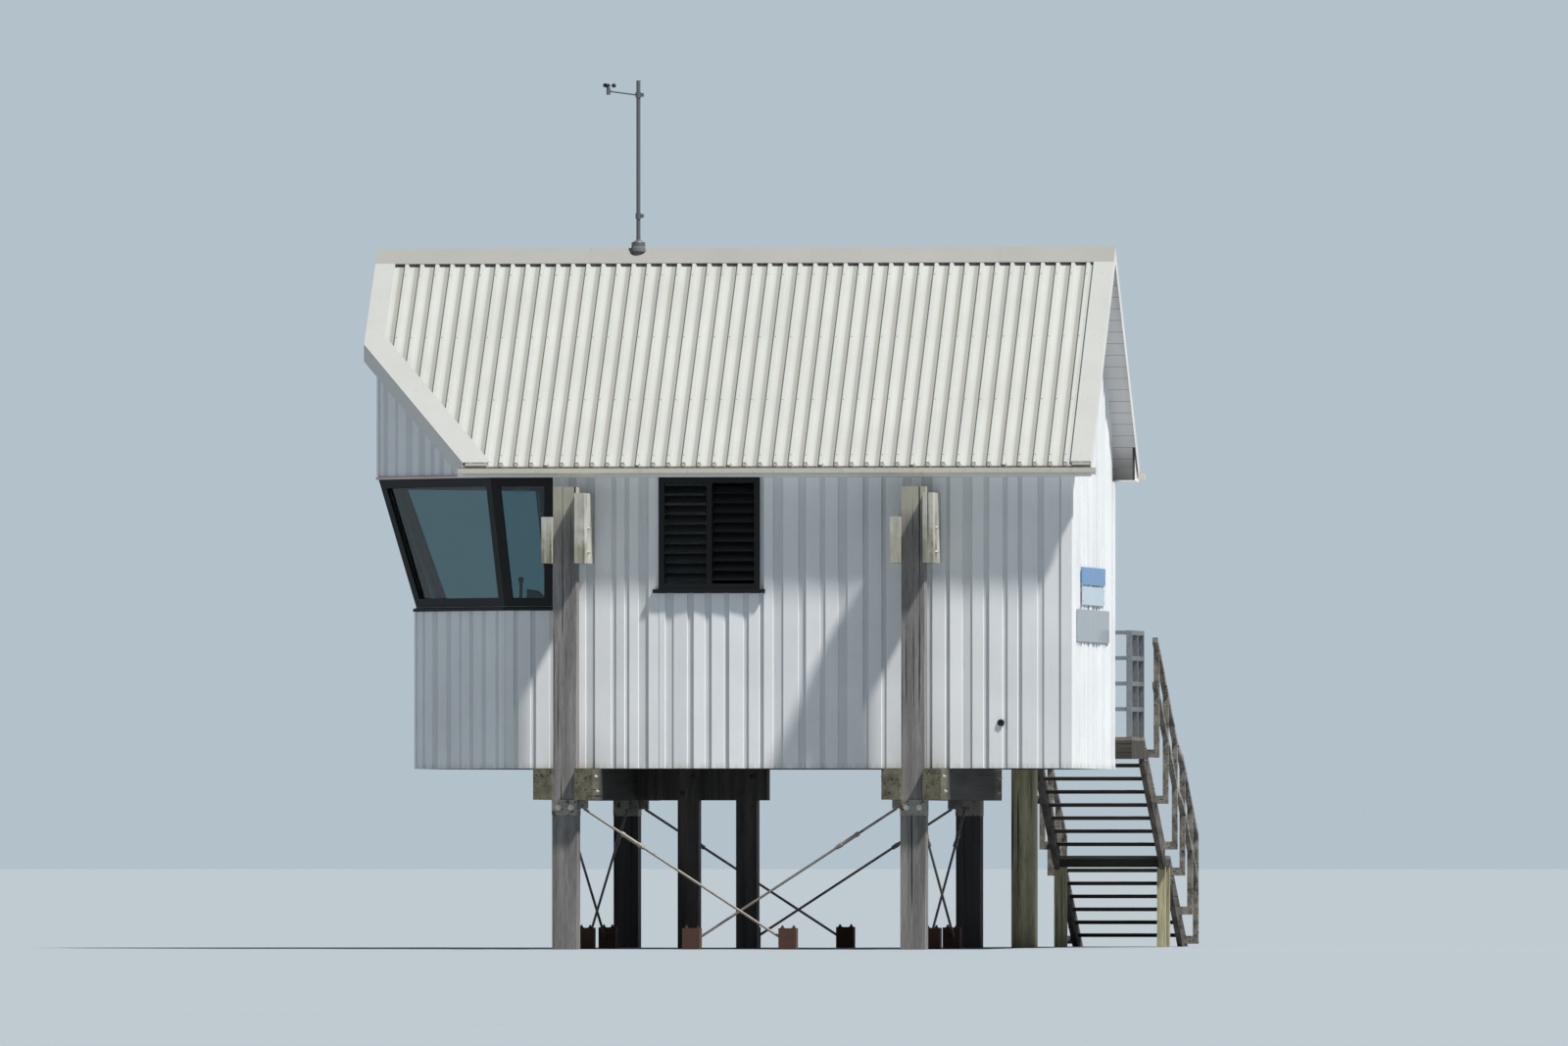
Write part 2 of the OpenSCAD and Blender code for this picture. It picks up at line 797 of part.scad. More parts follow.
// Section across the ribs: along X, and out from the boards
function rib_outline(x, foot, top, low, high) =
    [[x + foot / 2, low], [x + top / 2, high], [x - top / 2, high], [x - foot / 2, low]];

module ribbed_section() {
    upper = [for (k = [0:rib_count - 1]) each rib_outline(rib_x(k), rib_foot_w, rib_top_w, sheet_t, rib_h)];
    under = [for (k = [rib_count - 1:-1:0], p = [3:-1:0])
        rib_outline(rib_x(k), rib_foot_w - 2 * sheet_t, rib_top_w - 2 * sheet_t, 0, rib_h - sheet_t)[p]];
    polygon(concat([[roof_rear_x, sheet_t]], upper, [[-roof_front_x, sheet_t], [-roof_front_x, 0]],
        under, [[roof_rear_x, 0]]));
}

module near_sheet() {
    intersection() {
        translate([0, 0, apex_z + plumb(roof_board_t + sheet_play)]) rotate([90 + roof_pitch, 0, 0])
            translate([0, 0, -ridge_gap]) linear_extrude(body_w) ribbed_section();
        on_plan(slope_plan(ridge_gap / 2, roof_eave_y), 0, beyond);
    }
}

module near_roof_sheet() {
    color("ivory") placed() near_sheet();
}

module far_roof_sheet() {
    color("ivory") placed() mirror([0, 1, 0]) near_sheet();
}

module ridge_cap() {
    color("antiquewhite") placed() both_sides() intersection() {
        slope_layer(flashing_w0, flashing_w0 + flashing_t);
        slab(-(roof_front_x + flashing_t), roof_rear_x + flashing_t, -cap_y, 0, 0, beyond);
    }
}

// Flashing along the edges of the near slope: flat on the ribs, and hanging down over the edge
module near_trim() {
    outer = slope_plan(0, roof_eave_y, -flashing_t);
    difference() {
        intersection() {
            union() {
                slope_layer(-flashing_drop, flashing_w0);
                difference() {
                    slope_layer(flashing_w0, flashing_w0 + flashing_t);
                    slab(-beyond, beyond, -cap_y, through, 0, beyond);
                }
            }
            on_plan(outer, 0, beyond);
        }
        intersection() {
            slope_layer(-beyond / 10, flashing_w0);
            on_plan(slope_plan(-through, beyond / 4, -sheet_play), 0, beyond);
        }
        on_plan(slope_plan(-through, beyond / 4, flashing_w), 0, beyond);
        slab(-beyond, beyond, -beyond, -roof_eave_y, 0, beyond);
        slab(-beyond, beyond, -beyond, -(fascia_y - gutter_clear), 0, gutter_top_z + gutter_clear);
    }
}

module near_roof_trim() {
    color("antiquewhite") placed() near_trim();
}

module far_roof_trim() {
    color("antiquewhite") placed() mirror([0, 1, 0]) near_trim();
}

// Fascia and level soffit under the eave of the near side
module eave_box() {
    inner_y = fascia_y - fascia_t;
    function edge(y) = -(roof_cant - y);
    intersection() {
        union() {
            on_plan([[edge(fascia_y), -fascia_y], [roof_rear_x, -fascia_y], [roof_rear_x, -inner_y],
                [edge(inner_y), -inner_y]], head_z, beyond);
            on_plan([[edge(inner_y), -inner_y], [roof_rear_x, -inner_y], [roof_rear_x, -half],
                prow_corner(4, 1, 0)], head_z, head_z + soffit_t);
        }
        under_roof();
    }
}

module eave_boards() {
    color("rosybrown") placed() both_sides() eave_box();
}

module gutter() {
    x0 = -(roof_cant - fascia_y);
    x1 = roof_rear_x + gutter_run_out;
    bevel = gutter_w / 4;
    z0 = head_z + soffit_t;
    y0 = -fascia_y;
    y1 = y0 - gutter_w;
    function channel(e, top) = [[y0 - e, z0 + e], [y0 - e, z0 + top], [y1 + e, z0 + top],
        [y1 + e, z0 + bevel + e / 2], [y1 + bevel + e / 2, z0 + e]];
    difference() {
        along_x(channel(0, gutter_h), x0, x1);
        along_x(channel(gutter_t, gutter_h + through), x0 + gutter_t, x1 - gutter_t);
    }
}

module gutters() {
    color("ivory") placed() both_sides() gutter();
}

// Landing and stair on the far side

module landing_frame(x0, x1, y0, y1, z0, h) {
    difference() {
        slab(x0, x1, y0, y1, z0, z0 + h);
        slab(x0 + landing_frame_t, x1 - landing_frame_t, y0 + landing_frame_t, y1 - landing_frame_t,
            z0 - through, z0 + h + through);
    }
    middle = (x0 + x1) / 2;
    slab(middle - landing_frame_t / 2, middle + landing_frame_t / 2, y0 + landing_frame_t,
        y1 - landing_frame_t, z0, z0 + h);
}

module landing_frames() {
    color("darkkhaki") placed() {
        landing_frame(landing_x, stair_x1, half, landing_y, landing_under_z, landing_frame_h);
        landing_frame(stair_x0, stair_x1, mid_y0, mid_y1, mid_under_z, mid_frame_h);
    }
}

module landing_decks() {
    color("silver") placed() {
        slab(landing_x, stair_x1, half, landing_y, floor_z - landing_deck_t, floor_z);
        slab(stair_x0, stair_x1, mid_y0, mid_y1, mid_z - landing_deck_t, mid_z);
    }
}

module stair_posts() {
    inset = landing_post_w / 2;
    color("olive") placed() {
        pillar(landing_x + inset, landing_y - inset, landing_post_w, 0, landing_under_z);
        for (x = [stair_x0 + mid_leg_w / 2, stair_x1 - mid_leg_w / 2],
            y = [mid_y0 + mid_leg_w / 2, mid_y1 - mid_leg_w / 2])
            pillar(x, y, mid_leg_w, 0, mid_under_z);
    }
}

// One side of the guard, drawn along its length: posts, a top rail and lower rails
module guard_side(length, posts) {
    gap = (guard_h - guard_rail_w) / guard_rails;
    for (k = [0:posts - 1]) translate([k * (length - guard_post_w) / (posts - 1), 0])
        square([guard_post_w, guard_h]);
    for (k = [1:guard_rails]) translate([0, k * gap]) square([length, guard_rail_w]);
}

module landing_guards() {
    color("darkgray") placed() {
        for (x = [landing_x, stair_x1 - guard_post_w]) translate([x, half, floor_z])
            rotate([90, 0, 90]) linear_extrude(guard_post_w) guard_side(landing_d, 3);
        translate([landing_x + guard_post_w, landing_y, floor_z]) rotate([90, 0, 0])
            linear_extrude(guard_post_w) guard_side(stair_x0 - landing_x - guard_post_w, 2);
    }
}

// Side view of a stringer, along Y and Z: its top edge is the line of the step noses
function stringer_outline(y0, z0, y1, z1) = z1 > 0 ?
    [[y0, z0], [y1, z1], [y1, z1 - stringer_h], [y0, z0 - stringer_h]] :
    [[y0, z0], [y1, 0], [y1 - stringer_h / step_slope, 0], [y0, z0 - stringer_h]];

module stringers() {
    color("gray") placed() for (x = [stair_x0, stair_x1 - stringer_t]) {
        along_x(stringer_outline(landing_y, floor_z, mid_y0, mid_z + riser), x, x + stringer_t);
        along_x(stringer_outline(mid_y1, mid_z, stair_foot_y, 0), x, x + stringer_t);
    }
}

// The treads of a flight that goes down from z0 at y0
module flight(y0, z0, risers) {
    for (k = [1:risers - 1])
        slab(stair_x0 + stringer_t, stair_x1 - stringer_t, y0 + (k - 1) * going, y0 + k * going,
            z0 - k * riser - tread_t, z0 - k * riser);
}

module treads() {
    color("silver") placed() {
        flight(landing_y, floor_z, upper_risers);
        flight(mid_y1, mid_z, lower_risers);
    }
}

// Height of the line of the step noses at y, level over the middle landing
function nose_z(y) = y < mid_y0 ? floor_z - (y - landing_y) * step_slope :
    y < mid_y1 ? mid_z : max(0, mid_z - (y - mid_y1) * step_slope);

// A rail of width w whose underside runs a height h over the noses
module sloped_rail(h, w) {
    turns = [landing_y, mid_y0, mid_y1, stair_foot_y - going];
    heights = [floor_z, mid_z + riser, mid_z, nose_z(stair_foot_y - going)];
    for (k = [0:2]) polygon([[turns[k], heights[k] + h], [turns[k + 1], heights[k + 1] + h],
        [turns[k + 1], heights[k + 1] + h + w], [turns[k], heights[k] + h + w]]);
}

// Places of the handrail posts along the stair
rail_posts = [
    landing_y + going / 2,
    (landing_y + mid_y0) / 2,
    mid_y0 - going / 2,
    mid_y1 + going / 2,
    (mid_y1 + stair_foot_y) / 2,
    stair_foot_y - going - handrail_post_w
];

module rail_side() {
    linear_extrude(handrail_post_w) {
        sloped_rail(handrail_h - handrail_w, handrail_w);
        sloped_rail(handrail_h / 2, handrail_w);
        for (y = rail_posts) translate([y, nose_z(y) - stringer_h / 2])
            square([handrail_post_w, stringer_h / 2 + handrail_h - handrail_w / 2]);
    }
}

module stair_rails() {
    color("dimgray") placed() for (side = [0, 1]) {
        x_post = side == 0 ? stair_x1 + cleat_run : stair_x0 - cleat_run - handrail_post_w;
        x_cleat = side == 0 ? stair_x1 : stair_x0 - cleat_run;
        translate([x_post, 0, 0]) rotate([90, 0, 90]) rail_side();
        for (y = rail_posts)
            slab(x_cleat, x_cleat + cleat_run, y, y + handrail_post_w, nose_z(y) - stringer_h / 2,
                nose_z(y) - stringer_h / 2 + cleat_h);
    }
}

// Wind mast

module wind_mast() {
    color("dimgray") placed() difference() {
        union() {
            translate([mast_x, 0, apex_z]) cylinder(d = mast_foot_d, h = ridge_top_z - apex_z + mast_foot_h);
            translate([mast_x, 0, ridge_top_z]) cylinder(d = mast_d, h = mast_h);
            bar([mast_x, 0, arm_z0], [rotor_x, 0, arm_z0 + arm_rise], arm_d / 2);
            translate([rotor_x, 0, housing_z]) cylinder(d = housing_d, h = housing_h);
            translate([rotor_x, 0, housing_z]) cylinder(d = spindle_d, h = housing_h + hub_gap + hub_h);
        }
        both_sides() slope_layer(-beyond / 10, flashing_w0 + flashing_t);
    }
}

module cup() {
    difference() {
        sphere(d = cup_d);
        sphere(d = cup_d - 2 * cup_t);
        translate([-cup_d, 0, -cup_d]) cube([2 * cup_d, cup_d, 2 * cup_d]);
    }
}

module cup_rotor() {
    color("black") placed() translate([rotor_x, 0, hub_z]) difference() {
        union() {
            cylinder(d = hub_d, h = hub_h);
            for (k = [0:cups - 1]) rotate([0, 0, k * 360 / cups]) {
                difference() {
                    translate([0, -cup_t, hub_h / 2]) rotate([0, 90, 0])
                        cylinder(d = cup_arm_d, h = cup_orbit - cup_d / 2 + cup_t);
                    translate([cup_orbit, 0, hub_h / 2]) sphere(d = cup_d - 2 * cup_t);
                }
                translate([cup_orbit, 0, hub_h / 2]) cup();
            }
        }
        translate([0, 0, -through]) cylinder(d = spindle_d + 2 * spindle_play, h = hub_h + 2 * through);
    }
}

lower_legs();
tall_posts();
splice_collars();
cross_beams();
head_timbers();
side_tie_rods();
end_tie_rods();
rod_anchors();
floor_trestle();
floor_joists();
floor_deck();
near_wall();
far_wall();
rear_gable_wall();
front_lower_wall();
cant_lower_walls();
front_gable_wall();
cant_upper_walls();
front_window_frame();
cant_window_frames();
end_window_frames();
prow_glass();
louvre_frames();
louvre_blades();
door_frame();
door_leaf();
ceiling();
near_roof_boards();
far_roof_boards();
near_roof_sheet();
far_roof_sheet();
ridge_cap();
near_roof_trim();
far_roof_trim();
eave_boards();
gutters();
landing_decks();
landing_frames();
stair_posts();
landing_guards();
stringers();
treads();
stair_rails();
wind_mast();
cup_rotor();
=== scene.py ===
import logging
import math
from dataclasses import dataclass, field
from enum import Enum
from itertools import product
from typing import Callable, Optional, Sequence, Union

import bmesh
import bpy
import numpy as np
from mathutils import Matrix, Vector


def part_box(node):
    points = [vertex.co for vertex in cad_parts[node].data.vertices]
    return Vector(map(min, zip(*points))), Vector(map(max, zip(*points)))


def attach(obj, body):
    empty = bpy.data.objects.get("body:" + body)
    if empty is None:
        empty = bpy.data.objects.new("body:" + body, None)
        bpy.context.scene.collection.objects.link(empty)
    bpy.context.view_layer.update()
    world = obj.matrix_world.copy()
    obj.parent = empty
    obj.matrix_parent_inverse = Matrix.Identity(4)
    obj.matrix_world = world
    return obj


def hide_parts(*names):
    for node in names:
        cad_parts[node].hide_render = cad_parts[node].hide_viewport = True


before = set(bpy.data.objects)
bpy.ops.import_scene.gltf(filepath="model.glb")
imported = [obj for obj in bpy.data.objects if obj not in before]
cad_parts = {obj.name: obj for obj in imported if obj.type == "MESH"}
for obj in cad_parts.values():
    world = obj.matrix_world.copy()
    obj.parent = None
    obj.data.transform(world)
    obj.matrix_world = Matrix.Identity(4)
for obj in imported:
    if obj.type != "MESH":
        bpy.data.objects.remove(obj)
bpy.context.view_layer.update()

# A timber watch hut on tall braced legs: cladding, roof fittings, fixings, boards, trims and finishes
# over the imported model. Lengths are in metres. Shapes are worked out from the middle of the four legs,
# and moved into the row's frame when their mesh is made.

log = logging.getLogger("watch_hut")
TOWER, CUPS = "tower", "cups"
REARWARD, FARWARD, UP = np.eye(3)


# Shapes

def at(x: np.ndarray, y: np.ndarray, z: np.ndarray) -> np.ndarray:
    """Points whose coordinates are numbers or arrays, spread to one length."""
    return np.stack(np.broadcast_arrays(x, y, z), -1).astype(float)


@dataclass
class Shell:
    """Points and faces of one closed surface or of many.

    Attributes:
        points: One row of x, y and z for each vertex.
        faces: Arrays of vertex numbers, one array for each number of corners.
    """

    points: np.ndarray
    faces: list[np.ndarray] = field(default_factory=list)

    @staticmethod
    def join(shells: Sequence["Shell"]) -> "Shell":
        """Puts shells into one, each with its own vertices.

        Args:
            shells: The shells in order.

        Returns:
            One shell whose face numbers are raised by the points that came before.
        """
        starts = np.cumsum([0] + [len(s.points) for s in shells[:-1]])
        faces = [f + start for s, start in zip(shells, starts) for f in s.faces]
        return Shell(np.concatenate([s.points for s in shells]), faces)

    def on_both_sides(self) -> "Shell":
        """The shell and its mirror image across the ridge; normals are made right in Piece.make."""
        return Shell.join([self, Shell(self.points * [1, -1, 1], self.faces)])


def loft(rings: np.ndarray) -> Shell:
    """Closed tubes: ring j of tube m joins ring j+1 by quads, and the end rings are capped.

    Args:
        rings: Array (tubes, rings, corners, 3).

    Returns:
        The shell of all the tubes.
    """
    m, r, k, _ = rings.shape
    number = np.arange(m * r * k).reshape(m, r, k)
    a, b = number[:, :-1], number[:, 1:]
    quads = np.stack([a, np.roll(a, -1, 2), np.roll(b, -1, 2), b], -1).reshape(-1, 4)
    return Shell(rings.reshape(-1, 3), [quads, number[:, 0, ::-1], number[:, -1]])


def bars(profile: np.ndarray, starts: np.ndarray, ends: np.ndarray, side: np.ndarray,
         out: np.ndarray = UP) -> Shell:
    """Prisms: each point is start (or end) + profile_x * side + profile_y * out.

    Args:
        profile: Array (corners, 2), the section.
        starts: Array (bars, 3) of the places of the section's origin at one end.
        ends: The same at the other end.
        side: Direction of the section's first coordinate.
        out: Direction of its second coordinate.

    Returns:
        The shell of all the bars.
    """
    section = profile[:, :1] * side + profile[:, 1:] * out
    ends = [np.atleast_2d(end).astype(float)[:, None] + section for end in (starts, ends)]
    return loft(np.stack(ends, 1))


def slabs(low: np.ndarray, high: np.ndarray, chamfer: float = 0.0) -> Shell:
    """Upright boxes: the plan's corners are cut by `chamfer` and carried from low z to high z.

    Args:
        low: Array (boxes, 3) of lowest corners.
        high: Array (boxes, 3) of highest corners.
        chamfer: Width of the cut corners.

    Returns:
        The shell of all the boxes.
    """
    low, high = np.atleast_2d(low).astype(float), np.atleast_2d(high).astype(float)
    unit, inward = np.array([[0, 0], [1, 0], [1, 1], [0, 1]], float), np.zeros((4, 2))
    if chamfer > 0:
        unit = np.repeat(unit, 2, 0)
        inward = np.array([[0, 1], [1, 0], [-1, 0], [0, 1], [0, -1], [-1, 0], [1, 0], [0, -1]], float)
    plan = low[:, None, :2] + unit * (high - low)[:, None, :2] + inward * chamfer
    return loft(np.stack([at(plan[..., 0], plan[..., 1], z[:, None]) for z in (low[:, 2], high[:, 2])], 1))


def rounds(axes: np.ndarray, sides: int) -> np.ndarray:
    """Unit circles square to axes: cos a * side + sin a * up, from cross products with a world axis.

    Args:
        axes: Array (circles, 3) of unit directions.
        sides: Number of points round each.

    Returns:
        Array (circles, sides, 3).
    """
    helper = np.where(np.abs(axes[:, 2:]) < 0.9, UP, REARWARD)
    side = np.cross(helper, axes)
    side /= np.linalg.norm(side, axis=1, keepdims=True)
    up = np.cross(axes, side)
    angle = np.arange(sides)[:, None] * 2 * np.pi / sides
    return np.cos(angle) * side[:, None] + np.sin(angle) * up[:, None]


def turned(profile: Sequence[Sequence[float]], places: np.ndarray, axes: np.ndarray,
           sides: int = 12) -> Shell:
    """Surfaces of revolution: point = place + height * axis + radius * circle, along the profile.

    Args:
        profile: Radius and height of each step, from the first cap to the last.
        places: Array (pieces, 3) of origins.
        axes: Direction of each axis, one for all or one a piece.
        sides: Number of facets round the axis.

    Returns:
        The shell of all the turned pieces.
    """
    places, profile = np.atleast_2d(places).astype(float), np.array(profile)
    axes = np.array(np.broadcast_to(axes, places.shape), float)
    axes /= np.linalg.norm(axes, axis=1, keepdims=True)
    centres = places[:, None, None] + profile[:, 1, None, None] * axes[:, None, None]
    return loft(centres + profile[:, 0, None, None] * rounds(axes, sides)[:, None])


def pipe(path: np.ndarray, radius: float, sides: int = 12) -> Shell:
    """A round tube along a path: each ring lies square to the mean of the two directions that meet there.

    Args:
        path: Array (points, 3).
        radius: Radius of the tube.
        sides: Number of facets round it.

    Returns:
        The closed tube.
    """
    step = np.diff(path, axis=0)
    step /= np.linalg.norm(step, axis=1, keepdims=True)
    tangent = np.concatenate([step[:1], step[:-1] + step[1:], step[-1:]])
    tangent /= np.linalg.norm(tangent, axis=1, keepdims=True)
    return loft((path[:, None] + radius * rounds(tangent, sides))[None])


# The hut's own lines

LEG_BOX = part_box("lower_legs")
SHIFT = np.array([(LEG_BOX[0].x + LEG_BOX[1].x) / 2, (LEG_BOX[0].y + LEG_BOX[1].y) / 2, 0.0])


def span(node: str) -> np.ndarray:
    """Lowest and highest corner of a CAD node from the middle of the legs, to a tenth of a millimetre."""
    return np.round([np.array([c.x, c.y, c.z]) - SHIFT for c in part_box(node)], 4)


WALL, GABLE, FRONT = span("far_wall"), span("rear_gable_wall"), span("front_lower_wall")
BAND, ROOF, POSTS = span("front_window_frame"), span("far_roof_boards"), span("tall_posts")
POST_W, ROOT_2 = 0.25, math.sqrt(2)


@dataclass(frozen=True)
class Site:
    """Lines of the hut that several pieces share, from the middle of the legs.

    Attributes:
        half: Outer side of the side walls.
        rear: Outer side of the rear gable.
        side_reach: Where the side walls end at the sill, towards the front.
        prow_reach: Where the front face stands at the sill.
        front_lean: How much further out the front face stands at the head.
        cant_lean: The same for the slanting faces beside it, square to them.
        foot_z: Lower edge of the walls.
        floor_z: Upper side of the floor.
        sill_z: Lower edge of the window band.
        head_z: Upper edge of the window band.
        end_light_x: Rear edge of the end windows.
        apex_z: Underside of the roof boards at the ridge.
        pitch: Slope of the roof.
        fascia_y: Outer side of the fascia.
        eave_y: Lower edge of the roof sheet.
        roof_rear: Rear edge of the roof boards.
        roof_front: Their front edge.
        roof_cant: Sum of the distances forwards and sideways along the cut corners' edge.
        leg_x: Middle of the legs along the ridge.
        leg_y: Middle of the legs across it.
        rib_top: Height of the roof ribs over the boards' underside.
    """

    half: float = WALL[1, 1]
    rear: float = WALL[1, 0]
    side_reach: float = round((WALL[1, 1] - WALL[0, 1]) * (ROOT_2 - 1) - span("cant_lower_walls")[1, 0], 4)
    prow_reach: float = -FRONT[0, 0]
    front_lean: float = round(FRONT[0, 0] - span("front_gable_wall")[0, 0], 4)
    cant_lean: float = round((-WALL[0, 0] - side_reach) / ROOT_2, 4)
    foot_z: float = WALL[0, 2]
    floor_z: float = span("floor_deck")[1, 2]
    sill_z: float = BAND[0, 2]
    head_z: float = BAND[1, 2]
    end_light_x: float = span("end_window_frames")[1, 0]
    apex_z: float = GABLE[1, 2]
    pitch: float = math.radians(round(math.degrees(math.atan2(GABLE[1, 2] - WALL[1, 2], WALL[0, 1]))))
    fascia_y: float = span("eave_boards")[1, 1]
    eave_y: float = span("far_roof_sheet")[1, 1]
    roof_rear: float = ROOF[1, 0]
    roof_front: float = -ROOF[0, 0]
    roof_cant: float = fascia_y - span("gutters")[0, 0]
    leg_x: float = POSTS[1, 0] - POST_W / 2
    leg_y: float = POSTS[1, 1] - POST_W / 2
    rib_top: float = 0.0554

    @property
    def square_out(self) -> np.ndarray:
        """Direction square to the near slope."""
        return np.array([0.0, -math.sin(self.pitch), math.cos(self.pitch)])

    def roof_z(self, y: np.ndarray, lift: float = 0.0) -> np.ndarray:
        """Underside of the roof boards, raised square to it: apex + lift / cos - |y| * tan(pitch)."""
        return self.apex_z + lift / math.cos(self.pitch) - np.abs(y) * math.tan(self.pitch)

    def on_slope(self, x: np.ndarray, y: np.ndarray) -> np.ndarray:
        """Points of the near slope's underside, y metres out from the ridge in plan."""
        return at(x, -np.asarray(y), self.roof_z(y))

    def corner(self, i: int, level: float, depth: float) -> np.ndarray:
        """Plan of a corner of the front.

        Args:
            i: 0 for the far end light's rear edge, round the front to 5 for the near one's.
            level: 0 at the sill, 1 at the head.
            depth: Distance inwards, square to both faces that meet there.

        Returns:
            Its x and y.
        """
        cant = self.side_reach + self.half + self.cant_lean * ROOT_2 * level
        front = self.prow_reach + self.front_lean * level
        miter = depth * (ROOT_2 - 1)
        far = ((self.end_light_x, self.half - depth),
               (self.half - cant + miter, self.half - depth),
               (depth - front, cant - front - miter))
        x, y = far[min(i, 5 - i)]
        return np.array([x, y if i < 3 else -y])


SITE = Site()


# Finishes

Socket = Union[float, Sequence[float], bpy.types.NodeSocket]
TINT = {"data_type": "RGBA"}
SHADE = {"data_type": "RGBA", "blend_type": "MULTIPLY"}


class Grain(Enum):
    """The way that grain, brush marks or rain streaks run, as streaks a metre along x, y and z."""

    ALONG_X = (0.6, 10.0, 10.0)
    ALONG_Y = (10.0, 0.6, 10.0)
    ALONG_Z = (10.0, 10.0, 0.6)
    DOWN_SLOPE = (10.0, 0.5, 0.5)
    EVEN = (6.0, 6.0, 6.0)


def linear(colour: str) -> tuple[float, ...]:
    """Linear light of an sRGB hex colour: c / 12.92 below 0.04045, else ((c + 0.055) / 1.055) ** 2.4."""
    parts = [int(colour[k:k + 2], 16) / 255 for k in (1, 3, 5)]
    return tuple(c / 12.92 if c <= 0.04045 else ((c + 0.055) / 1.055) ** 2.4 for c in parts) + (1.0,)


def add(tree: bpy.types.NodeTree, kind: str, inputs: Union[Sequence[Socket], dict] = (),
        out: Union[int, str] = 0, **settings: object) -> Optional[bpy.types.NodeSocket]:
    """Adds a node, sets its properties and fills its sockets with values or links.

    Args:
        tree: The node tree.
        kind: Class name of the node after "ShaderNode".
        inputs: Values or other nodes' outputs, for the sockets in order or by name or number.
        out: Name or number of the output that is wanted.
        settings: Properties of the node.

    Returns:
        That output, or None where the node has no outputs.
    """
    node = tree.nodes.new("ShaderNode" + kind)
    for name, value in settings.items():
        setattr(node, name, value)
    for name, value in (inputs if isinstance(inputs, dict) else dict(enumerate(inputs))).items():
        if isinstance(value, bpy.types.NodeSocket):
            tree.links.new(value, node.inputs[name])
        else:
            node.inputs[name].default_value = value
    return node.outputs[out] if node.outputs else None


def stretched(tree: bpy.types.NodeTree, place: Socket, scale: Sequence[float], detail: float = 4.0,
              rough: float = 0.55) -> bpy.types.NodeSocket:
    """Noise on coordinates that are multiplied by a scale.

    Args:
        tree: Node tree of the material.
        place: Object coordinates.
        scale: Patterns a metre along x, y and z.
        detail: Number of finer layers.
        rough: Strength of each layer against the one before.

    Returns:
        The noise, 0 to 1.
    """
    moved = add(tree, "Mapping", {"Vector": place, "Scale": scale})
    return add(tree, "TexNoise", {"Vector": moved, "Scale": 1.0, "Detail": detail, "Roughness": rough})


def grooves(tree: bpy.types.NodeTree, place: Socket, axis: int, pitch: float,
            width: float) -> bpy.types.NodeSocket:
    """Joints of boards: fract(c / pitch) < width / pitch, for a coordinate c.

    Args:
        tree: Node tree of the material.
        place: Object coordinates.
        axis: Number of the coordinate.
        pitch: Distance of the joints.
        width: Width of a joint.

    Returns:
        1 in the joints and 0 between them.
    """
    part = add(tree, "SeparateXYZ", (place,), axis)
    turns = add(tree, "Math", (part, pitch), operation="DIVIDE")
    rest = add(tree, "Math", (turns,), operation="FRACT")
    return add(tree, "Math", (rest, width / pitch), operation="LESS_THAN")


@dataclass(frozen=True)
class Finish:
    """What all finishes share.

    Attributes:
        name: Name of the material.
        roughness: Roughness of the bare surface.
    """

    name: str
    roughness: float = 0.7

    def material(self) -> bpy.types.Material:
        """The material, made once and then looked up by its name.

        Returns:
            The Blender material.
        """
        found = bpy.data.materials.get(self.name)
        if found is not None:
            return found
        made = bpy.data.materials.new(self.name)
        made.use_nodes = True
        tree = made.node_tree
        tree.nodes.clear()
        pattern = self.pattern(tree, add(tree, "TexCoord", out="Object"))
        shader = add(tree, "BsdfPrincipled", {"Roughness": self.roughness, **pattern})
        add(tree, "OutputMaterial", {"Surface": shader})
        return made

    def pattern(self, tree: bpy.types.NodeTree, place: Socket) -> dict[str, Socket]:
        """What goes into the surface shader; each finish has its own.

        Args:
            tree: Node tree of the material.
            place: Object coordinates.

        Returns:
            Values and links by the names of the shader's sockets.
        """
        raise NotImplementedError


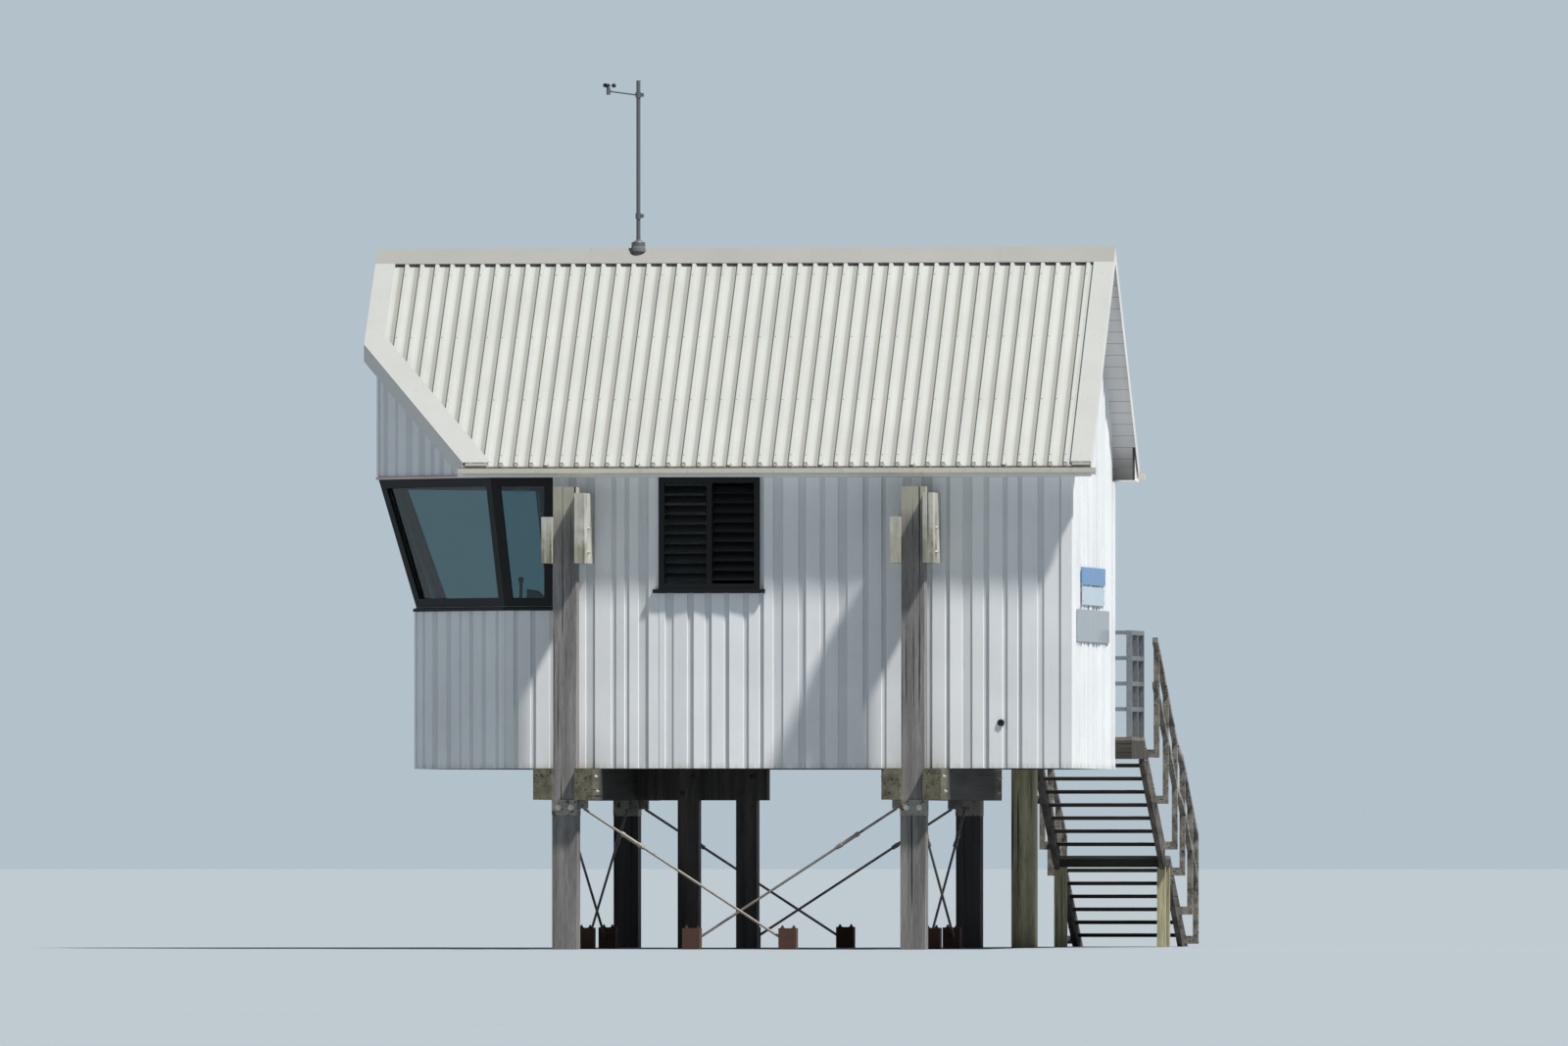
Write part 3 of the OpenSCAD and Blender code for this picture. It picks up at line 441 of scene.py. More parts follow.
@dataclass(frozen=True)
class Timber(Finish):
    """Sawn timber in the weather: streaks and fine grain along its length, drying cracks, a pale head, and
    painted shade over a stretch along y.

    Attributes:
        dark: Colour of the wet streaks.
        light: Colour of the dry streaks.
        stain: Colour of the patches over both, such as green growth or bleaching.
        stain_share: How much of the surface the patches take, 0 to 1.
        grain: The way that the grain runs.
        pale_top: Heights between which the timber turns to the pale_top_colour, or None; on the posts this
            pale top is painted light where the sun falls on the head.
        pale_top_colour: Colour at the head.
        board: Axis, pitch and width of board joints, or None.
        painted_shade_span: Middle along y and the distances from it where the painted shade ends, or None.
        painted_shade_colour: Colour of the painted shade.
        split: Colour inside the cracks.
    """

    dark: str = "#4d4842"
    light: str = "#8d867c"
    stain: str = "#6f6c60"
    stain_share: float = 0.35
    grain: Grain = Grain.ALONG_Z
    pale_top: Optional[tuple[float, float]] = None
    pale_top_colour: str = "#d8d6c2"
    board: Optional[tuple[int, float, float]] = None
    painted_shade_span: Optional[tuple[float, float, float]] = None
    painted_shade_colour: str = "#2b292a"
    split: str = "#1b1815"

    def pattern(self, tree: bpy.types.NodeTree, place: Socket) -> dict[str, Socket]:
        """Streaks 0.1 m wide, grain 10 mm wide, cracks 3 mm wide and patches 0.5 m across.

        Args:
            tree: Node tree of the material.
            place: Object coordinates.

        Returns:
            Colour, roughness and bump for the shader.
        """
        way = np.array(self.grain.value)
        streak = stretched(tree, place, way, 6.0)
        fine = stretched(tree, place, way * 9, 3.0, 0.6)
        crack = stretched(tree, place, way * np.where(way > 1, 4.0, 0.8), 2.0, 0.4)
        patch = stretched(tree, place, (1.7, 1.7, 1.7), 5.0, 0.65)
        dry = add(tree, "MapRange", (streak, 0.36, 0.64))
        colour = add(tree, "Mix", {0: dry, 6: linear(self.dark), 7: linear(self.light)}, 2, **TINT)
        edge = 0.72 - 0.45 * self.stain_share
        stained = add(tree, "MapRange", (patch, edge - 0.05, edge + 0.12, 0.0, 0.8))
        colour = add(tree, "Mix", {0: stained, 6: colour, 7: linear(self.stain)}, 2, **TINT)
        tone = add(tree, "MapRange", (fine, 0.3, 0.7, 0.55, 1.25))
        colour = add(tree, "Mix", {0: 0.75, 6: colour, 7: tone}, 2, **SHADE)
        # A pale top; on the posts it is painted light, the sunlit head over the shaded post
        if self.pale_top:
            rise = add(tree, "MapRange", (add(tree, "SeparateXYZ", (place,), 2), *self.pale_top))
            ragged = add(tree, "MapRange", (streak, 0.3, 0.7, -0.35, 0.35))
            ragged = add(tree, "Math", (ragged, rise), operation="ADD")
            held = add(tree, "Math", (ragged, rise), operation="MULTIPLY", use_clamp=True)
            colour = add(tree, "Mix", {0: held, 6: colour, 7: linear(self.pale_top_colour)}, 2, **TINT)
        # Painted shade: the timber turns dark within a stretch along y, for the far legs and the beams under
        # the hut
        if self.painted_shade_span:
            middle, near, far = self.painted_shade_span
            away = add(tree, "Math", (add(tree, "SeparateXYZ", (place,), 1), middle), operation="SUBTRACT")
            away = add(tree, "Math", (away,), operation="ABSOLUTE")
            shade = add(tree, "MapRange", (away, near, far, 0.88, 0.0))
            colour = add(tree, "Mix", {0: shade, 6: colour, 7: linear(self.painted_shade_colour)}, 2, **TINT)
        split = add(tree, "MapRange", (crack, 0.64, 0.68))
        colour = add(tree, "Mix", {0: split, 6: colour, 7: linear(self.split)}, 2, **TINT)
        cut = add(tree, "MapRange", (split, 0.0, 1.0, 0.0, 0.9))
        depth = add(tree, "Math", (fine, cut), operation="SUBTRACT")
        if self.board:
            joint = grooves(tree, place, *self.board)
            colour = add(tree, "Mix", {0: joint, 6: colour, 7: linear("#16120f")}, 2, **TINT)
            depth = add(tree, "Math", (depth, joint), operation="SUBTRACT")
        dull = add(tree, "MapRange", (streak, 0.3, 0.7, self.roughness + 0.08, self.roughness - 0.1))
        bump = add(tree, "Bump", {"Strength": 0.5, "Distance": 0.004, "Height": depth})
        return {"Base Color": colour, "Roughness": dull, "Normal": bump}


@dataclass(frozen=True)
class Paint(Finish):
    """Brushed or sprayed paint: even colour with chalky patches, rain streaks, grime and brush marks.

    Attributes:
        colour: The paint.
        dirt: Colour of the streaks and the grime.
        dirt_share: Strength of the dirt, 0 to 1.
        grain: The way that rain streaks and brush marks run.
        foot: Heights between which the grime at the foot fades out, or None.
        groove: Axis, pitch and width of the joints of lining boards, or None.
        band: Middle of the first soft dark band along x, and their pitch and half width, or None; the bands
            are painted shade beside the roof's ribs.
        coat: Weight of a glossy coat.
        metallic: 1 for bare metal under a clear lacquer, 0 for paint.
        specular: Level of the mirror-like part, lower where old paint has chalked.
        painted_top_shade: Colour painted on faces that look up, or None: painted shade on the lit tops, so
            that the upright faces stay lighter.
        bump: Depth of the brush marks.
    """

    colour: str = "#eef0f0"
    dirt: str = "#8e8a80"
    dirt_share: float = 0.25
    grain: Grain = Grain.ALONG_Z
    foot: Optional[tuple[float, float]] = None
    groove: Optional[tuple[int, float, float]] = None
    band: Optional[tuple[float, float, float]] = None
    coat: float = 0.0
    metallic: float = 0.0
    specular: float = 0.5
    painted_top_shade: Optional[str] = None
    bump: float = 0.0012

    def pattern(self, tree: bpy.types.NodeTree, place: Socket) -> dict[str, Socket]:
        """Patches 0.8 m across at 4 %, streaks 30 mm wide, brush marks 4 mm wide.

        Args:
            tree: Node tree of the material.
            place: Object coordinates.

        Returns:
            Colour, roughness, bump and the uniform values for the shader.
        """
        way = np.array(self.grain.value)
        chalk = stretched(tree, place, (1.3, 1.3, 1.3), 5.0)
        streak = stretched(tree, place, way * 3.0, 5.0, 0.7)
        depth = stretched(tree, place, way * 24.0, 2.0)
        base, dirt = linear(self.colour), linear(self.dirt)
        # Painted light and shade: faces that look up turn darker than the upright faces
        if self.painted_top_shade:
            facing = add(tree, "SeparateXYZ", (add(tree, "TexCoord", out="Normal"),), 2)
            upward_share = add(tree, "MapRange", (facing, 0.15, 0.5))
            base = add(tree, "Mix", {0: upward_share, 6: base, 7: linear(self.painted_top_shade)}, 2, **TINT)
        tone = add(tree, "MapRange", (chalk, 0.3, 0.7, 0.93, 1.03))
        colour = add(tree, "Mix", {0: 1.0, 6: base, 7: tone}, 2, **SHADE)
        drip = add(tree, "MapRange", (streak, 0.56, 0.78, 0.0, self.dirt_share))
        colour = add(tree, "Mix", {0: drip, 6: colour, 7: dirt}, 2, **TINT)
        if self.foot:
            low = add(tree, "MapRange", (add(tree, "SeparateXYZ", (place,), 2), *self.foot, 0.55, 0.0))
            grime = add(tree, "MapRange", (streak, 0.35, 0.7))
            grime = add(tree, "Math", (low, grime), operation="MULTIPLY")
            colour = add(tree, "Mix", {0: grime, 6: colour, 7: dirt}, 2, **TINT)
        # Soft bands in the dirt colour beside the ribs: painted shade
        if self.band:
            first, pitch, half = self.band
            part = add(tree, "SeparateXYZ", (place,), 0)
            turns = add(tree, "Math", (part, 1 / pitch, 0.5 - first / pitch), operation="MULTIPLY_ADD")
            rest = add(tree, "Math", (turns,), operation="FRACT")
            away = add(tree, "Math", (rest, 0.5), operation="SUBTRACT")
            away = add(tree, "Math", (away,), operation="ABSOLUTE")
            soft = add(tree, "MapRange", (away, half / pitch * 0.7, half / pitch * 1.5, 0.68, 0.0))
            colour = add(tree, "Mix", {0: soft, 6: colour, 7: dirt}, 2, **TINT)
        if self.groove:
            joint = grooves(tree, place, *self.groove)
            colour = add(tree, "Mix", {0: joint, 6: colour, 7: linear("#3a3734")}, 2, **TINT)
            depth = add(tree, "Math", (depth, joint), operation="SUBTRACT")
        dull = add(tree, "MapRange", (streak, 0.35, 0.75, self.roughness, self.roughness + 0.15))
        bump = add(tree, "Bump", {"Strength": 0.35, "Distance": self.bump, "Height": depth})
        return {"Base Color": colour, "Roughness": dull, "Normal": bump, "Coat Weight": self.coat,
                "Metallic": self.metallic, "Specular IOR Level": self.specular}


@dataclass(frozen=True)
class Steel(Finish):
    """Hot-dip galvanised or rusting steel: crystal spangle, dull grey patches and rust that starts in spots.

    Attributes:
        colour: The zinc.
        rust: Colour of the rust.
        rust_share: How much of the surface has rusted, 0 to 1.
        metallic: How metallic the sound surface is.
    """

    colour: str = "#a9aaa6"
    rust: str = "#6b3a20"
    rust_share: float = 0.15
    metallic: float = 0.75

    def pattern(self, tree: bpy.types.NodeTree, place: Socket) -> dict[str, Socket]:
        """Spangle 15 mm across, rust spots 40 mm across with a grainy 3 mm crust.

        Args:
            tree: Node tree of the material.
            place: Object coordinates.

        Returns:
            Colour, metal share, roughness and bump for the shader.
        """
        spangle = add(tree, "TexVoronoi", {"Vector": place, "Scale": 65.0}, "Color")
        bright = add(tree, "MapRange", (add(tree, "SeparateColor", (spangle,)), 0.0, 1.0, 0.82, 1.1))
        spots = stretched(tree, place, (14, 14, 14), 7.0, 0.68)
        crust = stretched(tree, place, (220, 220, 220), 3.0)
        edge = 0.80 - 0.55 * self.rust_share
        rusty = add(tree, "MapRange", (spots, edge - 0.03, edge + 0.06))
        zinc = add(tree, "Mix", {0: 1.0, 6: linear(self.colour), 7: bright}, 2, **SHADE)
        grainy = add(tree, "MapRange", (crust, 0.3, 0.7))
        oxide = add(tree, "Mix", {0: grainy, 6: linear("#2e1a12"), 7: linear(self.rust)}, 2, **TINT)
        height = add(tree, "Math", (crust, rusty), operation="MULTIPLY")
        return {
            "Base Color": add(tree, "Mix", {0: rusty, 6: zinc, 7: oxide}, 2, **TINT),
            "Metallic": add(tree, "MapRange", (rusty, 0.0, 1.0, self.metallic, 0.0)),
            "Roughness": add(tree, "MapRange", (rusty, 0.0, 1.0, self.roughness, 0.92)),
            "Normal": add(tree, "Bump", {"Strength": 0.6, "Distance": 0.002, "Height": height}),
        }


@dataclass(frozen=True)
class Glazing(Finish):
    """Float glass with a faint green body and a film of salt that dulls it in patches.

    Attributes:
        tint: Colour of light that has gone through.
        salt: Roughness of the dullest patches.
    """

    tint: str = "#8da9ae"
    salt: float = 0.12

    def pattern(self, tree: bpy.types.NodeTree, place: Socket) -> dict[str, Socket]:
        """Salt patches 0.3 m across, run down by rain.

        Args:
            tree: Node tree of the material.
            place: Object coordinates.

        Returns:
            Roughness and the uniform values for the shader.
        """
        film = stretched(tree, place, (6.0, 6.0, 1.5), 5.0)
        dull = add(tree, "MapRange", (film, 0.45, 0.75, self.roughness, self.salt))
        return {"Base Color": linear(self.tint), "Transmission Weight": 1.0, "IOR": 1.5, "Roughness": dull}


RIB_PITCH, FIRST_RIB = 0.1667, 0.1075
# Middle of the painted shade beside the first rib, in the row's frame, then the pitch and the half width
RIB_PAINTED_SHADE = (round(SITE.roof_rear + SHIFT[0] - FIRST_RIB - 0.050, 4), RIB_PITCH, 0.028)
WALL_FOOT = (SITE.foot_z + 0.01, SITE.foot_z + 0.07)
# Stretches across the hut that are painted in shade: the far legs, and the beams under the floor
FAR_LEGS_PAINTED_SHADE = (SITE.leg_y + SHIFT[1], 1.0, 1.2)
UNDER_HUT_PAINTED_SHADE = (SHIFT[1], SITE.half + 0.02, SITE.half + 0.35)

# Brushed gloss on sawn boards, chalked by the sun: a soft sheen with faint runs and a grey foot; the under
# boards between the outer boards are a darker copy, painted shade in the recesses
WHITE = Paint("white_gloss_boards", 0.42, "#ebedef", "#9a967e", 0.12, foot=WALL_FOOT, bump=0.0009)
WHITE_UNDER_PAINTED_SHADE = Paint("white_under_boards_painted_shade", 0.5, "#d7dadc", "#87836c", 0.20, foot=WALL_FOOT)
# Roll-formed steel with a factory coat: smooth and dulled by salt; the grey beside each rib is painted shade
CREAM = Paint("coated_steel_roof_sheet", 0.45, "#b6b9b5", "#85837a", 0.22, Grain.DOWN_SLOPE,
              band=RIB_PAINTED_SHADE, bump=0.0004)
# The flashing's upward faces are painted darker than its upright faces: painted light and shade
CREAM_TRIM = Paint("coated_steel_flashing_painted_shade", 0.42, "#dcdcd8", "#86837a", 0.25, Grain.EVEN,
                   painted_top_shade="#b3b5b2", bump=0.0004)
CAP = Paint("dulled_steel_ridge_cap", 0.5, "#989893", "#857f74", 0.40, Grain.EVEN, bump=0.0004)
# Brushed matt paint on planed boards: an even tone with thin dark joints
SOFFIT = Paint("pinkish_grey_soffit_boards", 0.6, "#ebe7e5", "#a39d99", 0.20, Grain.ALONG_X,
               groove=(1, 0.12, 0.003))
HEAD_STRIP = Paint("pinkish_grey_head_strip", 0.6, "#d9c9c1", "#8d857f", 0.25, Grain.EVEN, bump=0.0004)
LINING = Paint("painted_ceiling_lining", 0.6, "#dcdad2", "#9a968c", 0.12, Grain.ALONG_X,
               groove=(1, 0.1, 0.005))
# Extruded PVC: smooth, with brown runs outside, and white where a part is newer
GUTTER = Paint("weathered_pvc_gutter", 0.38, "#cfcbc0", "#8c8677", 0.60, Grain.EVEN, bump=0.0004)
STOP_END = Paint("white_pvc_stop_end", 0.35, "#eef0ef", "#a39f95", 0.20, Grain.EVEN, bump=0.0003)
# Sprayed satin paint on aluminium sections: nearly black, with a narrow soft shine
BLACK = Paint("satin_black_frames", 0.38, "#111213", "#3e3e3c", 0.12, specular=0.25, bump=0.0005)
BLADE = Paint("satin_black_louvre_blades", 0.4, "#181a1c", "#3c4042", 0.12, Grain.ALONG_X,
              specular=0.4, bump=0.0003)
# Brushed gloss on joinery: dark slate, with a scuffed foot
DOOR = Paint("slate_grey_door_paint", 0.4, "#4c555c", "#2f3232", 0.25, foot=(2.3, 2.7))
# Moulded foam and rubber: dull and even; the rubber is greyed by dust, and the foam closures are painted in
# the roof's shaded grey, painted shade
CLOSURE = Paint("grey_foam_rib_closure_painted_shade", 0.8, "#8f8e87", "#8d887c", 0.25, Grain.EVEN, bump=0.0004)
RUBBER = Paint("grey_rubber_gasket", 0.8, "#5c5f60", "#3c3b39", 0.20, Grain.EVEN, bump=0.0006)
# Fired enamel on steel: an even colour under a glassy shine
BLUE_PLATE = Paint("blue_enamel_plate", 0.28, "#3f7fbd", "#8b9094", 0.15, coat=0.4, bump=0.0003)
PALE_PLATE = Paint("white_enamel_plate", 0.28, "#c4d4e2", "#8b9094", 0.20, coat=0.4, bump=0.0003)
GREY_PLATE = Paint("grey_enamel_plate", 0.32, "#9ba3a8", "#5c6164", 0.25, coat=0.3, bump=0.0003)
# Moulded ABS, drawn aluminium tube that has lost its shine, and pale tread edges that are a painted
# highlight on the lit noses
BLACK_PLASTIC = Paint("black_moulded_plastic", 0.45, "#161719", "#3c3c3c", 0.10, Grain.EVEN, bump=0.0004)
MAST_METAL = Paint("weathered_aluminium_tube", 0.48, "#6f7375", "#3f4142", 0.35, metallic=0.7, bump=0.0003)
NOSING = Paint("pale_tread_edge_painted_highlight", 0.7, "#a7a196", "#5d574f", 0.55, Grain.ALONG_X)

# Float glass: clear and flat, dulled in patches by dried salt
GLASS = Glazing("salt_filmed_float_glass", 0.015)
# Hot-dip galvanised steel: grey spangle that dulls, brown spots where the zinc is gone
ZINC = Steel("galvanised_steel", 0.62, "#89837a", rust_share=0.30, metallic=0.5)
BOLT_ZINC = Steel("bright_zinc_bolts", 0.42, "#c3c3bd", rust_share=0.25)
RUSTY = Steel("heavily_rusted_steel", 0.85, "#54463f", "#5f4436", 0.95, 0.3)
DULL_ZINC = Steel("dull_stained_zinc", 0.6, "#8a8781", rust_share=0.40)
GUARD_ZINC = Steel("galvanised_guard_rails", 0.5, "#84898c", rust_share=0.12)

# Sawn softwood left bare in salt air: silver-grey streaks, fine cracks and a pale head; the posts' pale
# heads are painted light, and the far legs carry painted shade
LEG = Timber("driftwood_grey_leg", 0.82, "#6a6866", "#888683", "#787775", 0.3, painted_shade_span=FAR_LEGS_PAINTED_SHADE)
# The pale top from 4.45 m up is painted light: the sunlit head over the shaded post
POST = Timber("weathered_brown_grey_post", 0.8, "#777473", "#959190", "#868382", 0.25,
              pale_top=(4.45, 4.78), pale_top_colour="#a5a393")
HEAD = Timber("bleached_head_timber", 0.8, "#6f6d5c", "#b2b0a0", "#d6d5cd", 0.45,
              pale_top=(4.1, 4.9), pale_top_colour="#b9b8ae")
# The same, treated under pressure: an olive cast with straw-coloured streaks; the beams are painted in shade
# under the hut and stay light at their ends
BEAM = Timber("green_treated_beam", 0.8, "#4d4b3e", "#706d58", "#5c5a4e", 0.25, Grain.ALONG_Y,
              painted_shade_span=UNDER_HUT_PAINTED_SHADE)
OLIVE = Timber("olive_treated_post", 0.8, "#8f8b6e", "#c0b996", "#a39d80", 0.3)
# Nearly black timber with brown grain, for the trestle and the joists under the floor
NEAR_BLACK = Timber("near_black_trestle_timber", 0.7, "#2a2828", "#4c4643", "#3c393c", 0.3)
NEAR_BLACK_X = Timber("near_black_joist_timber", 0.72, "#1d1b1b", "#403a35", "#2c2a2a", 0.3, Grain.ALONG_X)
# Planed floor boards indoors: warm and dry, with narrow joints
FLOOR = Timber("softwood_floor_boards", 0.6, "#7c6144", "#a98a63", "#8d7353", 0.3, Grain.ALONG_X,
               board=(1, 0.137, 0.006))
# Stair and landing timber: grey-brown, darker where feet and rain keep it wet
STAIR = Timber("grey_brown_stair_timber", 0.85, "#3a3531", "#625b54", "#4a4540", 0.3, Grain.ALONG_Y)
RAILS = Timber("worn_handrail_timber", 0.78, "#5a5650", "#97928a", "#75716a", 0.3, Grain.ALONG_Y)
TREAD = Timber("dark_tread_timber", 0.85, "#2c2723", "#5c534a", "#433c36", 0.3, Grain.ALONG_X)
DECK = Timber("grey_deck_board", 0.85, "#4f4943", "#8c8378", "#6a645b", 0.3, Grain.ALONG_X)
# The landing frame is painted dark for the shade that it stands in: painted shade
SLEEPER = Timber("dark_landing_frame_painted_shade", 0.8, "#2a2620", "#453f34", "#343029", 0.3, Grain.ALONG_X)

FINISH_NODES: dict[Finish, str] = {
    LEG: "lower_legs", POST: "tall_posts", DULL_ZINC: "splice_collars", BEAM: "cross_beams",
    HEAD: "head_timbers", ZINC: "side_tie_rods end_tie_rods", RUSTY: "rod_anchors",
    NEAR_BLACK: "floor_trestle", NEAR_BLACK_X: "floor_joists", FLOOR: "floor_deck",
    WHITE_UNDER_PAINTED_SHADE: "near_wall far_wall rear_gable_wall front_lower_wall cant_lower_walls "
                "front_gable_wall cant_upper_walls",
    BLACK: "front_window_frame cant_window_frames end_window_frames louvre_frames",
    GLASS: "prow_glass", BLADE: "louvre_blades", DOOR: "door_frame door_leaf", LINING: "ceiling",
    SOFFIT: "near_roof_boards far_roof_boards eave_boards", CREAM: "near_roof_sheet far_roof_sheet",
    CREAM_TRIM: "near_roof_trim far_roof_trim", CAP: "ridge_cap", GUTTER: "gutters",
    DECK: "landing_decks", SLEEPER: "landing_frames", OLIVE: "stair_posts", GUARD_ZINC: "landing_guards",
    STAIR: "stringers", TREAD: "treads", RAILS: "stair_rails", MAST_METAL: "wind_mast",
    BLACK_PLASTIC: "cup_rotor",
}


# Pieces

class Piece:
    """Base of the sub-assemblies: it turns shells into finished objects on a body."""

    def make(self, name: str, shell: Shell, finish: Finish, slot: str, body: str = TOWER,
             smooth: bool = False, bevel: float = 0.0) -> bpy.types.Object:
        """Moves a shell to the row's frame, makes its faces point outwards, dresses it and gives it a body.

        Args:
            name: Name of the piece.
            shell: Its shape, from the middle of the legs.
            finish: Its finish.
            slot: The record's material slot that it belongs to; not used.
            body: The body that it rides on.
            smooth: Whether its faces are shaded round.
            bevel: Width of rounded edges, 0 for none.

        Returns:
            The finished object, at the origin.
        """
        mesh = bpy.data.meshes.new(name)
        faces = [tuple(face) for group in shell.faces for face in group.tolist()]
        mesh.from_pydata((shell.points + SHIFT).tolist(), [], faces)
        work = bmesh.new()
        work.from_mesh(mesh)
        bmesh.ops.recalc_face_normals(work, faces=work.faces)
        work.to_mesh(mesh)
        work.free()
        mesh.polygons.foreach_set("use_smooth", np.full(len(mesh.polygons), smooth))
        mesh.materials.append(finish.material())
        obj = bpy.data.objects.new(name, mesh)
        bpy.context.scene.collection.objects.link(obj)
        if bevel > 0:
            edge = obj.modifiers.new("eased_edges", "BEVEL")
            edge.width, edge.segments, edge.limit_method = bevel, 1, "ANGLE"
        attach(obj, body)
        log.info("%s: %d faces", name, len(mesh.polygons))
        return obj


Top = Callable[[np.ndarray, np.ndarray], np.ndarray]
Bay = tuple[float, float, float, Top]


def level(z: float) -> Top:
    """A top of boards at one height."""
    return lambda x, y: np.full(x.shape, z)


def under_roof(x: np.ndarray, y: np.ndarray) -> np.ndarray:
    """A top of boards 4 mm under the roof's."""
    return SITE.roof_z(y) - 0.004


@dataclass
class Face:
    """An upright wall face that takes boards.

    Attributes:
        start: Plan point where it begins.
        end: Plan point where it ends.
        outward: Plan direction of its outer side.
        bays: Stretches: from, to, lowest z, and the highest z as a function of x and y.
        relief: Share of the usual relief of its boards.
    """

    start: np.ndarray
    end: np.ndarray
    outward: np.ndarray
    bays: list[Bay]
    relief: float = 1.0


@dataclass
class Cladding(Piece):
    """White boards nailed upright over the wall faces, wide ones proud of the strips between them.

    Attributes:
        proud: How far the outer boards stand out.
        width: Narrowest and widest outer board.
        strip: Narrowest and widest strip between them.
        least: Narrowest board that is kept where a window or a door cuts one.
        chamfer: Eased edge of a board.
        lift: Least and most share of `proud` at a board's start and at its end, as old boards lie skew.
        corner_w: Width of the corner boards.
        door_side: Width of the corner board between the door and the corner.
        post_r: Radius of the cover strips at the front's corners.
        play: Gap at the boards' ends and beside the corner boards.
        seed: Start of the random numbers for the widths.
    """

    proud: float = 0.022
    width: tuple[float, float] = (0.09, 0.19)
    strip: tuple[float, float] = (0.045, 0.12)
    least: float = 0.03
    chamfer: float = 0.004
    lift: tuple[tuple[float, float], tuple[float, float]] = ((0.45, 1.0), (0.28, 0.95))
    corner_w: float = 0.1
    door_side: float = 0.07
    post_r: float = 0.018
    play: float = 0.005
    seed: int = 11

    def edges(self, length: float, seed: int) -> np.ndarray:
        """Start and end of each outer board along a face: running sums of random board and strip widths.

        Args:
            length: Length of the face.
            seed: Start of the random numbers.

        Returns:
            Array (boards, 2).
        """
        rng = np.random.default_rng(seed)
        count = int(length / (self.width[0] + self.strip[0])) + 2
        board = rng.uniform(*self.width, count)
        gap = rng.uniform(*self.strip, count)
        start = np.concatenate([[0.0], np.cumsum(board + gap)[:-1]])
        pairs = np.stack([start, start + board], 1)
        return pairs[pairs[:, 0] < length - 0.05]

    def boards(self, face: Face, seed: int) -> Shell:
        """Outer boards of a face: a six-sided section from the lowest z to the top at each of its points.

        Args:
            face: The wall face.
            seed: Start of the random numbers.

        Returns:
            The shell of the boards.
        """
        run = face.end - face.start
        length = float(np.linalg.norm(run))
        pairs = self.edges(length, seed)
        rng = np.random.default_rng(seed + 100)
        c, lift = self.chamfer * face.relief, np.array(self.lift) * face.relief
        shells = []
        for low_s, high_s, low_z, top in face.bays:
            s0, s1 = np.clip(pairs, low_s, high_s).T
            keep = s1 - s0 > self.least
            s0, s1 = s0[keep], s1[keep]
            a = self.proud * rng.uniform(*lift[0], len(s0))
            b = self.proud * rng.uniform(*lift[1], len(s0))
            s = np.stack([s0, s0, s0 + c, s1 - c, s1, s1], 1)
            d = np.stack([0 * a, a - c, a, b, b - c, 0 * b], 1)
            plan = face.start + s[..., None] * run / length + d[..., None] * face.outward
            x, y = plan[..., 0], plan[..., 1]
            shells.append(loft(np.stack([at(x, y, low_z), at(x, y, top(x, y))], 1)))
        return Shell.join(shells)

    def landing_lines(self) -> tuple[float, float, float]:
        """Heights where the far wall's boards stop.

        Returns:
            Under the landing's frame, over its deck, and over the door.
        """
        frame_h, gap = 0.2, 0.004
        under = span("landing_frames")[1, 2] - frame_h - gap
        return under, SITE.floor_z + gap, span("door_frame")[1, 2] + self.play

    def build(self) -> None:
        """Makes the boards of the sides, the rear gable and the front, and the corner boards."""
        foot, head = SITE.foot_z + 0.002, SITE.head_z - 0.002
        sill, over = SITE.sill_z - WindowTrim.sill_h, SITE.head_z + WindowTrim.head_h
        self.sides(foot, sill, head)
        inner = SITE.half - 0.115
        gable = Face(np.array([SITE.rear, -inner]), np.array([SITE.rear, inner]), REARWARD[:2],
                     [(0.0, 2 * inner, foot, under_roof)])
        self.make("rear_gable_boards", self.boards(gable, self.seed + 5), WHITE, "white_boards")
        shells = []
        for bay, (t, low, top) in product((1, 2, 3), ((0, foot, level(sill)), (1, over, under_roof))):
            start, end = SITE.corner(bay, t, 0), SITE.corner(bay + 1, t, 0)
            x, y = end - start
            size = math.hypot(x, y)
            bays = [(self.least, size - self.least, low, top)]
            face = Face(start, end, np.array([y, -x]) / size, bays, (0.5, 0.22)[t])
            shells.append(self.boards(face, self.seed + 10 + bay + 5 * t))
        self.make("front_boards", Shell.join(shells), WHITE, "white_boards")
        self.corner_boards(sill, over)

    def sides(self, foot: float, sill: float, head: float) -> None:
        """Boards of both side walls, round the end windows, the louvres, the landing and the door.

        Args:
            foot: Lower ends of the boards.
            sill: Their tops under the end windows.
            head: Their tops under the eaves.
        """
        x0, band = -SITE.side_reach, SITE.end_light_x
        frame_edge, louvre, landing = 0.06, span("louvre_frames"), span("landing_decks")[0, 0] - self.play
        left, right, under = louvre[0, 0] + frame_edge, louvre[1, 0] - frame_edge, louvre[0, 2] - 0.003
        door, rear = span("door_frame")[0, 0] - 0.006, SITE.rear - self.corner_w - self.play
        deck_low, deck_top, door_top = self.landing_lines()
        front = [(x0, band, foot, level(sill)), (band, left, foot, level(head)),
                 (left, right, foot, level(under))]
        near = [(right, rear, foot, level(head))]
        far = [(right, landing, foot, level(head)), (landing, rear, foot, level(deck_low)),
               (landing, door, deck_top, level(head)), (door, rear, door_top, level(head))]
        for number, (name, sign, rest) in enumerate((("near", -1, near), ("far", 1, far))):
            bays = [(a - x0, b - x0, low, top) for a, b, low, top in front + rest]
            y = sign * SITE.half
            face = Face(np.array([x0, y]), np.array([SITE.rear, y]), sign * FARWARD[:2], bays)
            self.make(f"{name}_wall_boards", self.boards(face, self.seed + number), WHITE, "white_boards")

